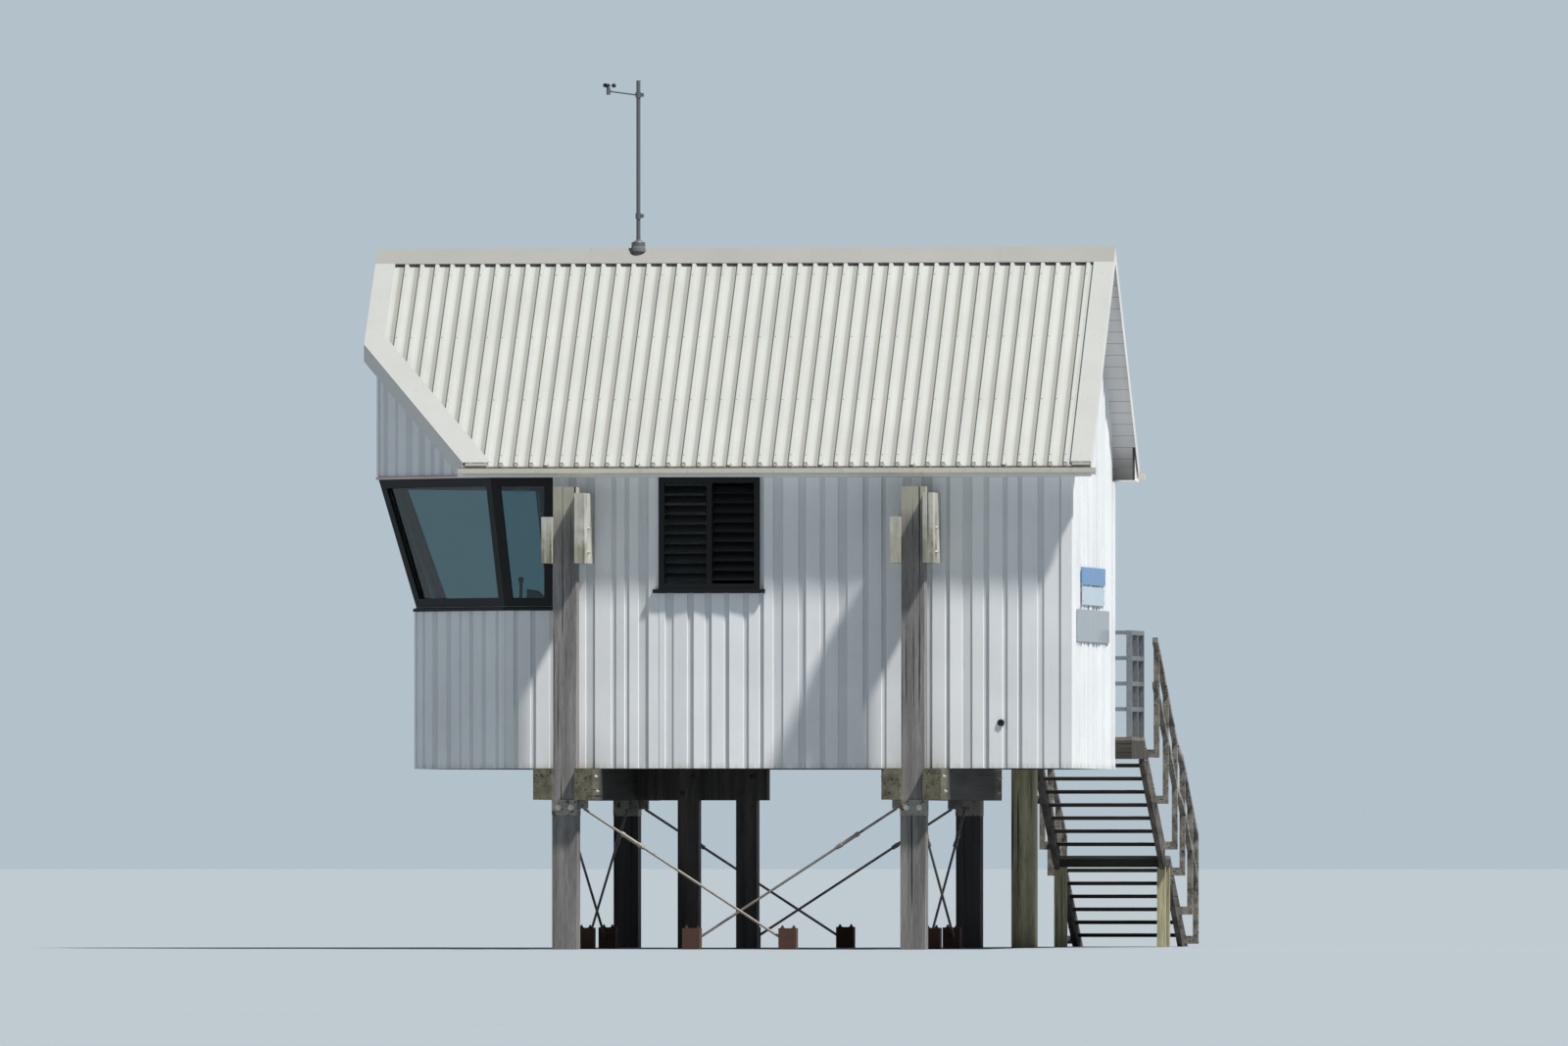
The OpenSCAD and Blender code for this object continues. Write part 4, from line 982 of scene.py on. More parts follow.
    def corner_boards(self, sill: float, over: float) -> None:
        """Flat corner boards on both faces of the rear corners, and round strips at the front corners.

        Args:
            sill: Tops of the strips under the window band.
            over: Feet of the strips over it.
        """
        site, w = SITE, self.corner_w
        foot, head = site.foot_z + 0.001, site.head_z - 0.001
        deck_low, deck_top, door_top = self.landing_lines()
        far = ((w, foot, deck_low), (self.door_side, deck_top, door_top), (w, door_top, head))
        boxes = []
        for sign, stretches in ((-1, ((w, foot, head),)), (1, far)):
            near_y, far_y = sorted((sign * (site.half - w), sign * (site.half + self.proud)))
            boxes.append(((site.rear, near_y, foot), (site.rear + self.proud, far_y, head)))
            near_y, far_y = sorted((sign * site.half, sign * (site.half + self.proud)))
            boxes += [((site.rear - back, near_y, z0), (site.rear, far_y, z1))
                      for back, z0, z1 in stretches]
        low, high = np.array(boxes).swapaxes(0, 1)
        shells = [slabs(low, high, 0.002)]
        for number, t in product((1, 2, 3, 4), (0, 1)):
            x, y = site.corner(number, t, -0.004)
            foot_z, top = (over, site.roof_z(y) - 0.006) if t else (foot, sill)
            profile = [(self.post_r, 0.0), (self.post_r, top - foot_z)]
            shells.append(turned(profile, at(x, y, foot_z), UP, 8))
        self.make("corner_boards", Shell.join(shells), WHITE, "white_boards")


@dataclass
class RoofFittings(Piece):
    """Fixing screws, side laps, cap joints and closed edges of the ribbed roof.

    Attributes:
        count: Number of ribs.
        rows: Distances out from the ridge, in plan, of the screw rows.
        screw_edge: Least distance of a screw from the cut corners' edge.
        verge: Least distance of a screw from the front verge.
        base: Underside of the sheet over the boards' underside.
        lap_from: Distance out from the ridge, in plan, where the laps come out from under the cap.
        lap_edge: Distance of the laps' ends from the cut corners' edge.
        least_lap: Length of the shortest lap.
        foam: Distances of the closures' ends from the eave.
        blocks: Ends of the two blocks under the flashings.
        cap_joints: Places of the cap's joints along the ridge.
        cap_reach: Half width of a cap joint.
    """

    count: int = 48
    rows: tuple[float, ...] = (0.28, 0.95, 1.62, 2.21)
    screw_edge: float = 0.33
    verge: float = 0.05
    base: float = 0.0222
    lap_from: float = 0.26
    lap_edge: float = 0.25
    least_lap: float = 0.3
    foam: tuple[float, float] = (0.034, 0.004)
    blocks: tuple[tuple[float, float], ...] = ((-3.03, -2.80), (3.60, 3.795))
    cap_joints: tuple[float, ...] = (-1.9, 0.55, 2.6)
    cap_reach: float = 0.16

    def ribs(self) -> np.ndarray:
        """Middle of each rib along x: the rear verge less the first distance and k pitches."""
        return SITE.roof_rear - FIRST_RIB - np.arange(self.count) * RIB_PITCH

    def build(self) -> None:
        """Makes the screws, laps, cap joints, rib closures and eave ends on both slopes."""
        site = SITE
        x, y = [a.ravel() for a in np.meshgrid(self.ribs(), np.array(self.rows))]
        keep = (y - x < site.roof_cant - self.screw_edge) & (x > self.verge - site.roof_front)
        places = site.on_slope(x, y)[keep] + UP * site.rib_top / math.cos(site.pitch)
        washer = [(0.011, -0.001), (0.011, 0.002), (0.007, 0.0025), (0.006, 0.0085), (0.004, 0.009)]
        near = turned(washer, places, site.square_out, 6)
        self.make("roof_screws", near.on_both_sides(), CREAM_TRIM, "roof_sheet")
        self.laps()
        self.caps()
        self.closures()
        self.eave_ends()

    def laps(self) -> None:
        """Side laps: every sixth rib has a second skin 1.2 mm thick on one flank."""
        site = SITE
        xs = self.ribs()[5::6]
        reach = np.minimum(site.eave_y - 0.01, site.roof_cant - self.lap_edge + xs)
        keep = reach > self.lap_from + self.least_lap * math.cos(site.pitch)
        xs, reach = xs[keep], reach[keep]
        skin = np.array([(-0.048, 0.0045), (-0.0335, 0.0045), (-0.0185, 0.0333), (0.0185, 0.0333),
                         (0.0185, 0.0345), (-0.0195, 0.0345), (-0.0345, 0.0057), (-0.048, 0.0057)])
        near = bars(skin + [0.0, self.base], site.on_slope(xs, np.full(len(xs), self.lap_from)),
                    site.on_slope(xs, reach), REARWARD, site.square_out)
        self.make("sheet_side_laps", near.on_both_sides(), CREAM, "roof_sheet")

    def closures(self) -> None:
        """Foam that fills the ribs at the eave, and two blocks under the flashings beside the end ribs."""
        site = SITE
        xs = self.ribs()
        xs = xs[xs > site.eave_y - site.roof_cant + 0.06]
        inside = np.array([(-0.0275, 0.0007), (0.0275, 0.0007), (0.0150, 0.0252), (-0.0150, 0.0252)])
        start, end = [site.eave_y - back for back in self.foam]
        shells = [bars(inside + [0.0, self.base], site.on_slope(xs, start), site.on_slope(xs, end),
                       REARWARD, site.square_out)]
        for x0, x1 in self.blocks:
            block = np.array([(x0, 0.0270), (x1, 0.0270), (x1, 0.0552), (x0, 0.0552)])
            shells.append(bars(block, site.on_slope(0.0, start), site.on_slope(0.0, end - 0.002),
                               REARWARD, site.square_out))
        self.make("rib_closures", Shell.join(shells).on_both_sides(), CLOSURE, "roof_sheet")

    def eave_ends(self) -> None:
        """Boards that close the rear ends of the eaves, between soffit, fascia and roof boards."""
        site = SITE
        y = np.array([site.half + 0.001, site.fascia_y - 0.02])
        foot, top = np.full(2, site.head_z + 0.0185), site.roof_z(y) - 0.001
        section = np.stack([np.concatenate([-y, -y[::-1]]), np.concatenate([foot, top[::-1]])], 1)
        start = REARWARD * (site.roof_rear - 0.04)
        near = bars(section, start, start + REARWARD * 0.025, FARWARD)
        self.make("eave_end_boards", near.on_both_sides(), SOFFIT, "soffit_boards")

    def caps(self) -> None:
        """Joints of the ridge cap: a second skin 0.12 m wide and 1.5 mm thick over each joint."""
        y = self.cap_reach * np.array([-1, 0, 1, 1, 0, -1])
        skin = SITE.rib_top + np.repeat([0.0052, 0.0068], 3)
        section = np.stack([y, [SITE.roof_z(a, lift) for a, lift in zip(y, skin)]], 1)
        x = np.array(self.cap_joints)
        shell = bars(section, at(x - 0.06, 0, 0), at(x + 0.06, 0, 0), FARWARD)
        self.make("ridge_cap_joints", shell, CAP, "roof_sheet")


@dataclass
class GutterFittings(Piece):
    """Straps, unions and stop ends round the gutters.

    Attributes:
        strap_pitch: Distance of the straps.
        strap_w: Width of a strap.
        union_w: Width of a union.
        end_w: Width of a stop end.
        unions: Places of the unions.
        stop_ends: Places of the stop ends.
        bevel: Cut lower corner of the gutter.
        t: How far they stand out.
    """

    strap_pitch: float = 0.84
    strap_w: float = 0.025
    union_w: float = 0.09
    end_w: float = 0.05
    unions: tuple[float, float] = (-1.1, 1.35)
    stop_ends: tuple[float, float] = (-3.075, 3.83)
    bevel: float = 0.025
    t: float = 0.003

    def band(self, x: Sequence[float], width: float) -> Shell:
        """Bands round the outside of the gutter: its own section set out by t, less the section itself.

        Args:
            x: Middle of each band.
            width: Width of the bands.

        Returns:
            The shell on both sides of the roof.
        """
        x, b, t = np.array(x), self.bevel, self.t
        (_, _, z0), (_, y1, z1) = span("gutters") + [[0, 0, 0.001], [0, -0.0005, -0.0005]]
        y0, y1 = -SITE.fascia_y - 0.002, -y1
        lip = y1 - t * 0.15
        section = np.array([(y0, z0), (y1 + b, z0), (y1, z0 + b), (y1, z1),
                            (lip, z1), (lip, z0 + b), (y1 + b, z0 - t), (y0, z0 - t)])
        return bars(section, at(x - width / 2, 0, 0), at(x + width / 2, 0, 0), FARWARD).on_both_sides()

    def build(self) -> None:
        """Makes the straps, the unions and the stop ends."""
        straps = np.arange(-2.9, SITE.roof_rear - 0.05, self.strap_pitch)
        self.make("gutter_straps", self.band(straps, self.strap_w), GUTTER, "gutter")
        self.make("gutter_unions", self.band(self.unions, self.union_w), GUTTER, "gutter")
        self.make("gutter_stop_ends", self.band(self.stop_ends, self.end_w), STOP_END, "gutter")


# Both flights of the stair: where they start, and the rise and the going of every step
RISE, GOING = SITE.floor_z / 16, 0.25
UPPER_Y, LOWER_Y = span("landing_guards")[1, 1], span("landing_decks")[1, 1]
# The middle landing between them, 7 rises over the ground
MIDDLE_Y, MIDDLE_Z = LOWER_Y - 2 * GOING, round(7 * RISE, 4)


@dataclass
class Fixings(Piece):
    """Bolts with washers and hexagon nuts that hold the heavy timbers.

    Attributes:
        nut: Width of a nut across its corners.
        washer: Diameter of a washer.
        beam_rows: Bolts of a beam: place across from the leg's middle, and depth under the walls' foot.
        head_rows: Heights of a head timber's bolts over its lower edge.
        collar_off: Distance of a collar's bolts from the leg's middle.
        trestle_rows: Bolts of the trestle's header: place along it from a leg, and depth under the foot.
        trestle_x: Places of the trestle's legs.
        anchor_off: Distance of an anchor's bolts from its middle.
        side_anchor: Distance of the side rods' anchors from the middle.
        end_anchor: The same for the end rods' anchors.
        stringer_y: Places of the bolts along the stringers.
        stringer_drop: Depths of the bolts under the line over the steps' noses.
    """

    nut: float = 0.036
    washer: float = 0.056
    beam_rows: tuple[tuple[float, float], ...] = ((-0.06, 0.25), (0.06, 0.09))
    head_rows: tuple[float, float] = (0.12, 0.38)
    collar_off: float = 0.07
    trestle_rows: tuple[tuple[float, float], ...] = ((-0.06, 0.26), (0.06, 0.08))
    trestle_x: tuple[float, float] = (-0.37, -1.015)
    anchor_off: float = 0.055
    side_anchor: float = 0.525
    end_anchor: float = 0.895
    stringer_y: tuple[float, ...] = (3.26, 5.12, 5.76, 6.7)
    stringer_drop: tuple[float, float] = (0.08, 0.22)

    def bolts(self, name: str, spots: Sequence[tuple], finish: Finish, slot: str = "galvanised",
              scale: float = 1.0) -> None:
        """Makes washers, six-sided nuts and bolt ends on the same axes.

        Args:
            name: Name of the piece.
            spots: Place on the timber's face and outward direction of each bolt.
            finish: Their finish.
            slot: The record's material slot.
            scale: Size against the usual bolt.
        """
        w, n, s = self.washer / 2 * scale, self.nut / 2 * scale, scale
        places, axes = np.array(spots, float).swapaxes(0, 1)
        self.make(name, Shell.join([
            turned([(w, -0.001), (w, 0.004 * s)], places, axes, 12),
            turned([(n, 0.003 * s), (n, 0.017 * s), (n * 0.85, 0.020 * s)], places, axes, 6),
            turned([(n * 0.5, 0.018 * s), (n * 0.5, 0.030 * s), (n * 0.4, 0.032 * s)], places, axes, 8),
        ]), finish, slot)

    def build(self) -> None:
        """Bolts at the beams, heads, collars, trestle, anchors and stringers."""
        both, (leg_x, leg_y, foot) = (-1, 1), (SITE.leg_x, SITE.leg_y, SITE.foot_z)
        beam, heads = span("cross_beams")[1, 0] - leg_x, span("head_timbers")
        head, head_z = heads[1, 0] - leg_x, heads[0, 2]
        rows = [(beam, dy, foot - drop) for dy, drop in self.beam_rows]
        rows += [(head, 0, head_z + rise) for rise in self.head_rows]
        self.bolts("beam_and_head_bolts", [
            ((sx * leg_x + side * out, sy * (leg_y + dy), z), (side, 0, 0))
            for (sx, sy, side), (out, dy, z) in product(product(both, repeat=3), rows)], BOLT_ZINC)
        collar, collar_off = span("splice_collars"), self.collar_off
        self.bolts("collar_bolts", [
            ((sx * leg_x + dx, sy * collar[1, 1], collar[:, 2].mean()), (0, sy, 0))
            for sx, sy, dx in product(both, both, (-collar_off, collar_off))], BOLT_ZINC, scale=1.1)
        faces = tuple(zip(both, span("floor_trestle")[:, 1]))
        self.bolts("trestle_bolts", [
            ((x + dx, y, foot - drop), (0, side, 0))
            for x, (side, y), (dx, drop) in product(self.trestle_x, faces, self.trestle_rows)], RUSTY)
        anchor_z, off = span("rod_anchors")[1, 2], self.anchor_off
        plates = (((self.side_anchor, leg_y), ((-off, -off), (off, off))),
                  ((leg_x, self.end_anchor), ((-off, off), (off, -off))))
        self.bolts("anchor_bolts", [
            ((sx * x + dx, sy * y + dy, anchor_z), UP)
            for (x, y), ways in plates
            for sx, sy, (dx, dy) in product(both, both, ways)], RUSTY, "rusty_steel")
        faces = tuple(zip(both, span("stringers")[:, 0]))
        self.bolts("stringer_bolts", [
            ((x, y, self.nose(y) - drop), (side, 0, 0))
            for (side, x), y, drop in product(faces, self.stringer_y, self.stringer_drop)], ZINC, scale=0.7)

    @staticmethod
    def nose(y: float) -> float:
        """Height of the line over the steps' noses at y: the flight's head less run * rise / going."""
        head_y, head_z = (UPPER_Y, SITE.floor_z) if y < MIDDLE_Y else (LOWER_Y, MIDDLE_Z)
        return head_z - (y - head_y) * RISE / GOING


@dataclass
class TieRods(Piece):
    """Turnbuckles and lock nuts on the crossed rods.

    Attributes:
        share: Place of the turnbuckle along its rod, from the top.
        length: Length of the turnbuckle.
        bore: Radius of its bore.
        off: Distance of each of two crossed rods from the plane between them.
        heights: Heights of the rods' tops and feet.
        side_rod: Distances of a side rod's top and foot from the middle, along the ridge.
        end_rod: The same for an end rod, across it.
    """

    share: float = 0.24
    length: float = 0.26
    bore: float = 0.0145
    off: float = 0.026
    heights: tuple[float, float] = (1.525, 0.112)
    side_rod: tuple[float, float] = (1.705, 0.47)
    end_rod: tuple[float, float] = (2.265, 0.84)

    def ends(self) -> tuple[np.ndarray, np.ndarray]:
        """Mirror images of one side rod and one end rod.

        Returns:
            The tops and the feet of the eight rods.
        """
        tops, feet = [], []
        for (sy, sx), side in product(product((-1, 1), repeat=2), (True, False)):
            for points, sign, z, along, across in zip((tops, feet), (1, -1), self.heights, self.side_rod,
                                                      self.end_rod):
                points.append((sign * sx * along, sy * (SITE.leg_y - sx * self.off), z) if side else
                              (sx * (SITE.leg_x - sy * self.off), sign * sy * across, z))
        return np.array(tops), np.array(feet)

    def build(self) -> None:
        """Makes the turnbuckles, square to their rods."""
        tops, feet = self.ends()
        run = feet - tops
        middle = tops + run * self.share
        h, b = self.length / 2, self.bore
        sleeve = [(b, -h), (0.026, -h), (0.026, -h + 0.04), (0.021, -h + 0.05), (0.021, h - 0.05),
                  (0.026, h - 0.04), (0.026, h), (b, h)]
        nuts = [(b, h + 0.006), (0.027, h + 0.006), (0.027, h + 0.03), (b, h + 0.03)]
        shell = Shell.join([turned(sleeve, middle, run), turned(nuts, middle, run, 6)])
        self.make("rod_turnbuckles", shell, ZINC, "galvanised")


@dataclass
class WindowTrim(Piece):
    """Sill and head flashings of the window band, its inner window board, and a small instrument on it.

    Attributes:
        sill_h: Height of the sill flashing.
        sill_out: How far it stands out.
        head_h: Height of the head strip.
        head_out: How far it stands out.
        fall: How far their outer top edges drop.
        board: Outer and inner edge of the window board, behind the face.
        board_t: Thickness of the window board.
        instrument_at: Place of the instrument on it.
    """

    sill_h: float = 0.045
    sill_out: float = 0.035
    head_h: float = 0.035
    head_out: float = 0.03
    fall: float = 0.012
    board: tuple[float, float] = (0.092, 0.30)
    board_t: float = 0.022
    instrument_at: tuple[float, float] = (-2.33, -1.78)

    def strip(self, corners: Sequence[int], t: float, depth: tuple[float, float], z: tuple[float, float],
              fall: float) -> Shell:
        """A strip round the front with mitred joints: its section is a quad between two depths and heights.

        Args:
            corners: Corner numbers in order.
            t: 0 at the sill, 1 at the head.
            depth: Outer and inner depth behind the face, negative outside it.
            z: Lowest and highest height.
            fall: How far the outer top edge drops.

        Returns:
            The closed strip.
        """
        rings = []
        for i in corners:
            outer, inner = [SITE.corner(i, t, d) for d in depth]
            rings.append([[*inner, z[0]], [*outer, z[0]], [*outer, z[1] - fall], [*inner, z[1]]])
        return loft(np.array(rings)[None])

    def build(self) -> None:
        """Makes the flashings, the window board and the instrument."""
        sill_z, head_z = SITE.sill_z, SITE.head_z
        sill = self.strip(range(6), 0.0, (-self.sill_out, 0.0), (sill_z - self.sill_h, sill_z - 0.002),
                          self.fall)
        self.make("band_sill_flashing", sill, BLACK, "black_frames")
        head = self.strip((1, 2, 3, 4), 1.0, (-self.head_out, 0.0), (head_z, head_z + self.head_h),
                          self.fall)
        self.make("band_head_strip", head, HEAD_STRIP, "soffit_boards")
        board = self.strip(range(6), 0.0, self.board, (sill_z + 0.001, sill_z + 0.001 + self.board_t), 0.0)
        self.make("window_board", board, DOOR, "lining", bevel=0.002)
        self.instrument(np.array([*self.instrument_at, sill_z + self.board_t + 0.002]))

    def instrument(self, base: np.ndarray) -> None:
        """A box with a sloping face and a short post: the dark shape low in the near end light.

        Args:
            base: Middle of its foot.
        """
        body = np.array([(-0.09, 0.0), (0.09, 0.0), (0.09, 0.09), (0.03, 0.15), (-0.09, 0.17)])
        case = bars(body, base - 0.06 * FARWARD, base + 0.06 * FARWARD, REARWARD)
        post = turned([(0.018, 0.0), (0.018, 0.24), (0.03, 0.25), (0.03, 0.29), (0.012, 0.30)],
                      base - 0.16 * REARWARD, UP)
        self.make("window_instrument", Shell.join([case, post]), BLACK_PLASTIC, "rotor_plastic", bevel=0.003)


@dataclass
class DoorFurniture(Piece):
    """Hinges, lever handle, lock plate, raised boards and weather bar of the landing door.

    Attributes:
        hinges: Heights of the hinges over the floor.
        lever_h: Height of the lever over the floor.
        lever_in: Its distance from the leaf's edge.
        stile: Margin of the leaf beside its boards.
        margins: Margins of the leaf under and over its boards.
        count: Number of boards.
    """

    hinges: tuple[float, ...] = (0.22, 0.98, 1.74)
    lever_h: float = 1.02
    lever_in: float = 0.07
    stile: float = 0.012
    margins: tuple[float, float] = (0.10, 0.024)
    count: int = 6

    def build(self) -> None:
        """Makes the door's metalwork, its raised boards and its weather bar."""
        y, z = SITE.half, SITE.floor_z
        (left, _, _), (right, _, top) = span("door_leaf")
        knuckles = at(left + 0.002, y + 0.006, z + np.array(self.hinges))
        pins = turned([(0.006, -0.052), (0.009, -0.05), (0.009, 0.05), (0.006, 0.052)], knuckles, UP, 10)
        leaves = slabs(knuckles + [-0.03, -0.006, -0.045], knuckles + [0.034, -0.003, 0.045])
        hold = np.array([right - self.lever_in, y, z + self.lever_h])
        plate = slabs(hold + [-0.021, -0.001, -0.12], hold + [0.021, 0.004, 0.06], 0.002)
        rose = turned([(0.012, 0.003), (0.012, 0.040), (0.009, 0.046)], hold, FARWARD)
        path = [(0, 0.036, 0), (-0.02, 0.044, 0), (-0.09, 0.046, -0.002), (-0.12, 0.040, -0.004)]
        shell = Shell.join([pins, leaves, plate, rose, pipe(hold + np.array(path), 0.008)])
        self.make("door_metalwork", shell, ZINC, "galvanised")
        left, right = left + self.stile, right - self.stile
        edges = np.linspace(left, right, self.count + 1)
        low = at(edges[:-1] + 0.002, y - 0.0005, z + self.margins[0])
        high = at(edges[1:] - 0.002, y + 0.010, top - self.margins[1])
        self.make("door_boards", slabs(low, high, 0.003), DOOR, "door_paint")
        foot = np.array([(0.0, 0.012), (0.034, 0.012), (0.034, 0.025), (0.010, 0.085), (0.0, 0.095)])
        bar = bars(foot, at(left, y, z), at(right, y, z), FARWARD)
        self.make("door_weather_bar", bar, DOOR, "door_paint")


@dataclass
class Decking(Piece):
    """Boards of the two landings, which stand for the plain decks, pale tread edges that are a painted
    highlight, and short guard rails.

    Attributes:
        board: Width of a board.
        gap: Gap between boards.
        t: Thickness of a board.
        bevel: Eased edge of a board.
        treads: Number of treads of the upper and of the lower flight.
        rails: Number of the guard's rails.
        guard_h: Height of the guard.
        rail_h: Height of a rail.
        rail_y: Middle of the rails that reach the wall.
    """

    board: float = 0.140
    gap: float = 0.008
    t: float = 0.038
    bevel: float = 0.004
    treads: tuple[int, int] = (8, 6)
    rails: int = 4
    guard_h: float = 1.17
    rail_h: float = 0.05
    rail_y: float = 2.028

    def deck(self, x: tuple[float, float], y: tuple[float, float], top: float) -> Shell:
        """Boards that run along x, as many as fit the depth, with the gaps shared evenly.

        Args:
            x: Both ends of the boards.
            y: Both edges of the deck.
            top: Height of the upper side.

        Returns:
            The shell of the boards.
        """
        count = int(round((y[1] - y[0] + self.gap) / (self.board + self.gap)))
        pitch = (y[1] - y[0] + self.gap) / count
        w, c, t = (pitch - self.gap) / 2, self.bevel, self.t
        section = np.array([(-w, -t), (w, -t), (w, -c), (w - c, 0), (-w + c, 0), (-w, -c)])
        middle = y[0] + np.arange(count) * pitch + w
        return bars(section, at(x[0], middle, top), at(x[1], middle, top), FARWARD)

    def build(self) -> None:
        """Makes the boards of both landings, the pale nosing of each tread as a painted highlight, and the
        short guard rails.
        """
        deck, strings = span("landing_decks"), span("stringers")[:, 0]
        upper = self.deck(deck[:, 0], (deck[0, 1], UPPER_Y), SITE.floor_z)
        middle = self.deck(strings, (MIDDLE_Y, LOWER_Y), MIDDLE_Z)
        piece = self.make("landing_boards", Shell.join([upper, middle]), DECK, "grey_timber")
        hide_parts("landing_decks")
        steps = [np.arange(1, count + 1) for count in self.treads]
        y = np.concatenate([head + down * GOING for head, down in zip((UPPER_Y, LOWER_Y), steps)])
        z = np.concatenate([head * RISE - down * RISE for head, down in zip((16, 7), steps)])
        # Pale strips on the tread noses: painted highlight
        lip = np.array([(-0.045, 0.0), (-0.045, 0.003), (0.003, 0.003), (0.003, -0.036), (0.0, -0.036),
                        (0.0, 0.0)])
        x0, x1 = span("treads")[:, 0] + [0.002, -0.002]
        self.make("tread_nosings", bars(lip, at(x0, y, z), at(x1, y, z), FARWARD), NOSING, "grey_timber")
        self.returns(deck[1, 0] - 0.058)

    def returns(self, reach: float) -> None:
        """Short rails that close the guard between its end post and the wall, one per guard rail.

        Args:
            reach: Outer end of the rails.
        """
        h, edge = self.rail_h, 0.003
        z = SITE.floor_z + np.arange(1, self.rails + 1) * (self.guard_h - h) / self.rails
        section = np.array([(-0.02, edge), (0.02, edge), (0.02, h - edge), (-0.02, h - edge)])
        shell = bars(section, at(SITE.rear - 0.02, self.rail_y, z), at(reach, self.rail_y, z), FARWARD)
        self.make("guard_return_rails", shell, GUARD_ZINC, "grey_timber")


@dataclass
class MastFittings(Piece):
    """Foot gaiter, cone and clamps of the wind mast, and the nut on the cups.

    Attributes:
        tube: Radius of the mast.
        low_clamp: Height of the lower clamp over the ridge.
        high_clamp: Depth of the upper clamp under the mast's top.
        rotor: Place of the cups along the ridge, and height of their hub's upper side.
    """

    tube: float = 0.0235
    low_clamp: float = 0.35
    high_clamp: float = 0.1585
    rotor: tuple[float, float] = (-1.775, 9.4455)

    def build(self) -> None:
        """Makes the gaiter, the cone with the clamps, and the nut."""
        mast, r = span("wind_mast")[1], self.tube
        x, ridge = mast[0] - mast[1], span("ridge_cap")[1, 2] - 0.0005
        foot = at(x, 0, ridge)
        skirt = turned([(0.094, -0.055), (0.094, -0.03), (0.080, -0.01), (0.0755, 0.02)], foot, UP, 24)
        self.make("mast_foot_gaiter", skirt, RUBBER, "rotor_plastic", smooth=True)
        cone = turned([(0.066, 0.058), (0.060, 0.066), (r, 0.088), (r, 0.12)], foot, UP, 24)
        clamps = at(x, 0, np.array([mast[2] - self.high_clamp, ridge + self.low_clamp]))
        rings = turned([(r, -0.030), (0.032, -0.030), (0.032, 0.030), (r, 0.030)], clamps, UP, 16)
        lugs = slabs(clamps + [0.028, -0.012, -0.02], clamps + [0.060, 0.012, 0.02], 0.002)
        self.make("mast_clamps", Shell.join([cone, rings, lugs]), MAST_METAL, "mast_metal")
        hub = at(self.rotor[0], 0, self.rotor[1])
        nut = turned([(0.008, 0.0), (0.008, 0.006), (0.006, 0.008)], hub, UP, 6)
        self.make("cup_hub_nut", nut, ZINC, "mast_metal", body=CUPS)


@dataclass
class WallFittings(Piece):
    """Three bare plates on the rear gable and a small round vent on the near wall.

    Attributes:
        plate_t: Thickness of the plates.
        screw_in: Distances of the screws from the plates' ends and from their long edges.
        upper: Edges of the upper plate: from y, to y, from z, to z.
        middle: The same for the middle plate.
        lower: The same for the lower plate.
        vent_at: Place of the vent along the wall and its height.
    """

    plate_t: float = 0.008
    screw_in: tuple[float, float] = (0.05, 0.04)
    upper: tuple[float, ...] = (-1.19, 1.01, 3.96, 4.15)
    middle: tuple[float, ...] = (-1.11, 0.93, 3.74, 3.94)
    lower: tuple[float, ...] = (-1.60, 1.38, 3.34, 3.69)
    vent_at: tuple[float, float] = (2.79, 2.454)

    def build(self) -> None:
        """Makes the plates with their screws, and the vent."""
        face = SITE.rear + Cladding.proud
        front, (dy, dz), screws = face + self.plate_t, self.screw_in, []
        for name, finish in (("upper", BLUE_PLATE), ("middle", PALE_PLATE), ("lower", GREY_PLATE)):
            y0, y1, z0, z1 = getattr(self, name)
            plate = slabs([face, y0, z0], [front, y1, z1])
            self.make(f"{name}_sign_plate", plate, finish, "white_boards", bevel=0.002)
            screws += product((front,), (y0 + dy, y1 - dy), (z0 + dz, z1 - dz))
        heads = turned([(0.008, -0.001), (0.008, 0.002), (0.005, 0.004)], np.array(screws), REARWARD, 8)
        self.make("plate_screws", heads, ZINC, "galvanised")
        x, z = self.vent_at
        place = np.array([x, -SITE.half, z])
        ring = turned([(0.024, 0.0), (0.038, 0.0), (0.038, 0.030), (0.034, 0.036), (0.028, 0.036),
                       (0.026, 0.024), (0.024, 0.022)], place, -FARWARD, 20)
        slats = place + at(0, 0, np.array([-0.018, -0.004, 0.010]))
        slats = slabs(slats + [-0.026, -0.028, 0.0], slats + [0.026, -0.020, 0.008])
        self.make("wall_vent", Shell.join([ring, slats]), BLACK_PLASTIC, "rotor_plastic")


# Studio

@dataclass(frozen=True)
class StudioFloor(Finish):
    """Pale matt floor with a faint mottle."""

    colour: str = "#969fa6"

    def pattern(self, tree: bpy.types.NodeTree, place: Socket) -> dict[str, Socket]:
        """Mottle 3 m across at 2 %.

        Args:
            tree: Node tree of the material.
            place: Object coordinates.

        Returns:
            Colour for the shader.
        """
        mottle = add(tree, "MapRange", (stretched(tree, place, (0.3, 0.3, 0.3)), 0.3, 0.7, 0.98, 1.0))
        return {"Base Color": add(tree, "Mix", {0: 1.0, 6: linear(self.colour), 7: mottle}, 2, **SHADE)}


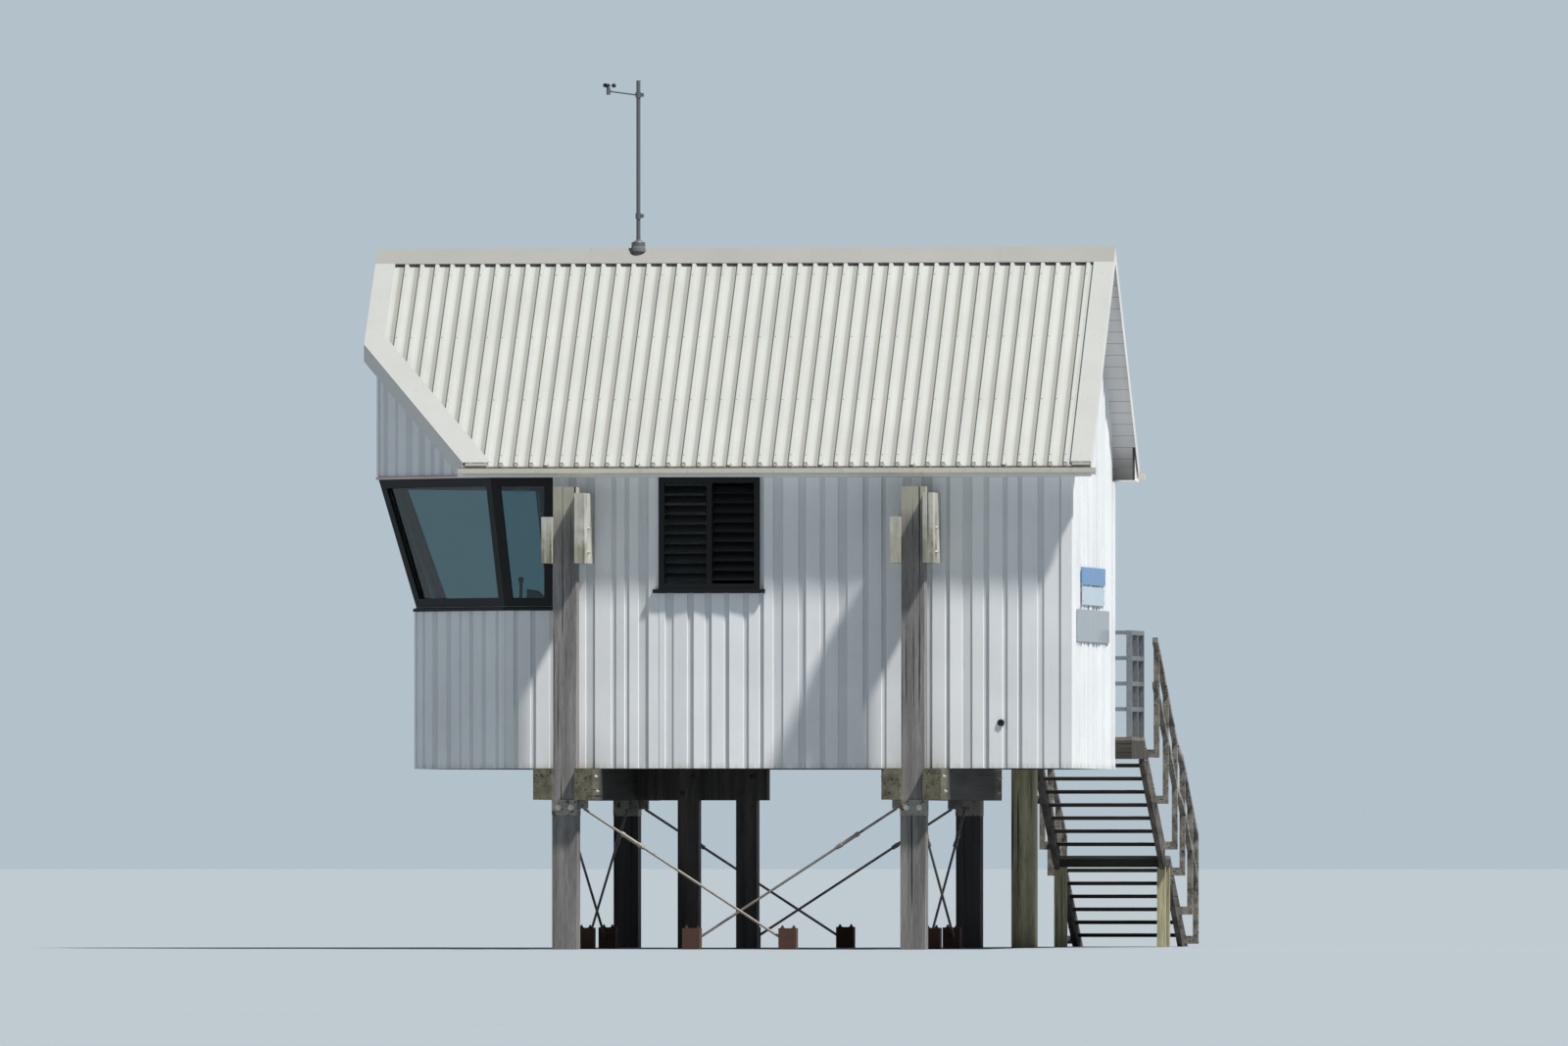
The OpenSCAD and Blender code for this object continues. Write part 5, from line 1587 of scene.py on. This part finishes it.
@dataclass
class Studio:
    """Floor, lights, background and camera.

    Attributes:
        azimuth: Turn of the camera from the near side towards the rear gable, in degrees.
        distance: Distance of the camera.
        eye: Height of the camera.
        width: Width of the view at the hut.
        aim: Point in the middle of the view, from the middle of the legs.
        sky: Colour behind the hut.
        glow: Colour of the light from all round.
        glow_strength: Strength of that light.
        sun: Direction of the lamp's rays.
        sun_colour: Linear colour of the lamp.
        sun_strength: Strength of the lamp.
        sun_angle: Width of the lamp as the hut sees it, in degrees, which softens the shadows.
        reach: Half width of the floor.
    """

    azimuth: float = 7.4
    distance: float = 280.0
    eye: float = 1.02
    width: float = 17.0
    aim: tuple[float, float, float] = (0.42, -2.0, 4.62)
    sky: str = "#b3c1cb"
    glow: str = "#d3e2f2"
    glow_strength: float = 0.19
    sun: tuple[float, float, float] = (-2.05, 1.0, -3.9)
    sun_colour: tuple[float, float, float] = (1.0, 0.975, 0.935)
    sun_strength: float = 5.5
    sun_angle: float = 4.0
    reach: float = 1600.0

    def build(self) -> None:
        """Makes the floor, the lights and the camera."""
        self.floor()
        self.world()
        self.lamp()
        self.camera()

    def floor(self) -> None:
        """A flat floor that reaches far enough for its edge to meet the background at eye height."""
        mesh = bpy.data.meshes.new("studio_floor")
        corners = self.reach * np.array([(-1, -1, 0), (1, -1, 0), (1, 1, 0), (-1, 1, 0)]) - 0.002 * UP
        mesh.from_pydata(corners.tolist(), [], [(0, 1, 2, 3)])
        mesh.materials.append(StudioFloor("matt_studio_floor", 0.9).material())
        plane = bpy.data.objects.new("studio_floor", mesh)
        bpy.context.scene.collection.objects.link(plane)

    def world(self) -> None:
        """An even pale light from all round, where camera, glossy and clear rays see the sky colour."""
        world = bpy.data.worlds.new("studio")
        world.use_nodes = True
        bpy.context.scene.world = world
        tree = world.node_tree
        tree.nodes.clear()
        path = add(tree, "LightPath").node.outputs
        seen = add(tree, "Math", (path["Is Camera Ray"], path["Is Transmission Ray"]), operation="MAXIMUM")
        seen = add(tree, "Math", (seen, path["Is Glossy Ray"]), operation="MAXIMUM")
        light = add(tree, "Background", {"Color": linear(self.glow), "Strength": self.glow_strength})
        back = add(tree, "Background", {"Color": linear(self.sky), "Strength": 1.0})
        add(tree, "OutputWorld", {"Surface": add(tree, "MixShader", (seen, light, back))})

    def lamp(self) -> None:
        """One broad soft lamp, high on the gable's side."""
        lamp = bpy.data.lights.new("soft_key", "SUN")
        lamp.energy, lamp.color = self.sun_strength, self.sun_colour
        lamp.angle = math.radians(self.sun_angle)
        self.place(bpy.data.objects.new("soft_key", lamp), self.sun)

    def camera(self) -> None:
        """A long lens at eye height: lens = 36 mm * distance / width of the view."""
        data = bpy.data.cameras.new("long_lens")
        data.lens = 36.0 * self.distance / self.width
        data.sensor_width = 36.0
        data.clip_start, data.clip_end = 1.0, 2400.0
        turn = math.radians(self.azimuth)
        aim = np.array(self.aim) + SHIFT
        camera = bpy.data.objects.new("long_lens", data)
        camera.location = aim + self.distance * np.array([math.sin(turn), -math.cos(turn), 0.0])
        camera.location.z = self.eye
        self.place(camera, aim - np.array(camera.location))
        bpy.context.scene.camera = camera

    @staticmethod
    def place(obj: bpy.types.Object, ray: Sequence[float]) -> None:
        """Links a lamp or camera and turns its own -z along a ray.

        Args:
            obj: The lamp or camera.
            ray: The direction.
        """
        x, y, z = ray
        obj.rotation_euler = (math.atan2(math.hypot(x, y), -z), 0.0, math.atan2(y, x) - math.pi / 2)
        bpy.context.scene.collection.objects.link(obj)


def dress_nodes() -> None:
    """Gives every CAD node its finish."""
    finishes = {name: finish for finish, names in FINISH_NODES.items() for name in names.split()}
    for name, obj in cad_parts.items():
        finish = finishes[name].material()
        for slot in obj.material_slots:
            slot.material = finish
        if not obj.material_slots:
            obj.data.materials.append(finish)
        log.info("%s: %s", name, finish.name)


def main() -> None:
    """Builds the pieces in order, then the studio."""
    logging.basicConfig(level=logging.INFO, format="%(name)s %(message)s")
    bpy.context.scene.view_settings.view_transform = "Standard"
    dress_nodes()
    for part in (Cladding, RoofFittings, GutterFittings, Fixings, TieRods, WindowTrim, DoorFurniture,
                 Decking, MastFittings, WallFittings, Studio):
        part().build()


if __name__ == "__main__":
    main()
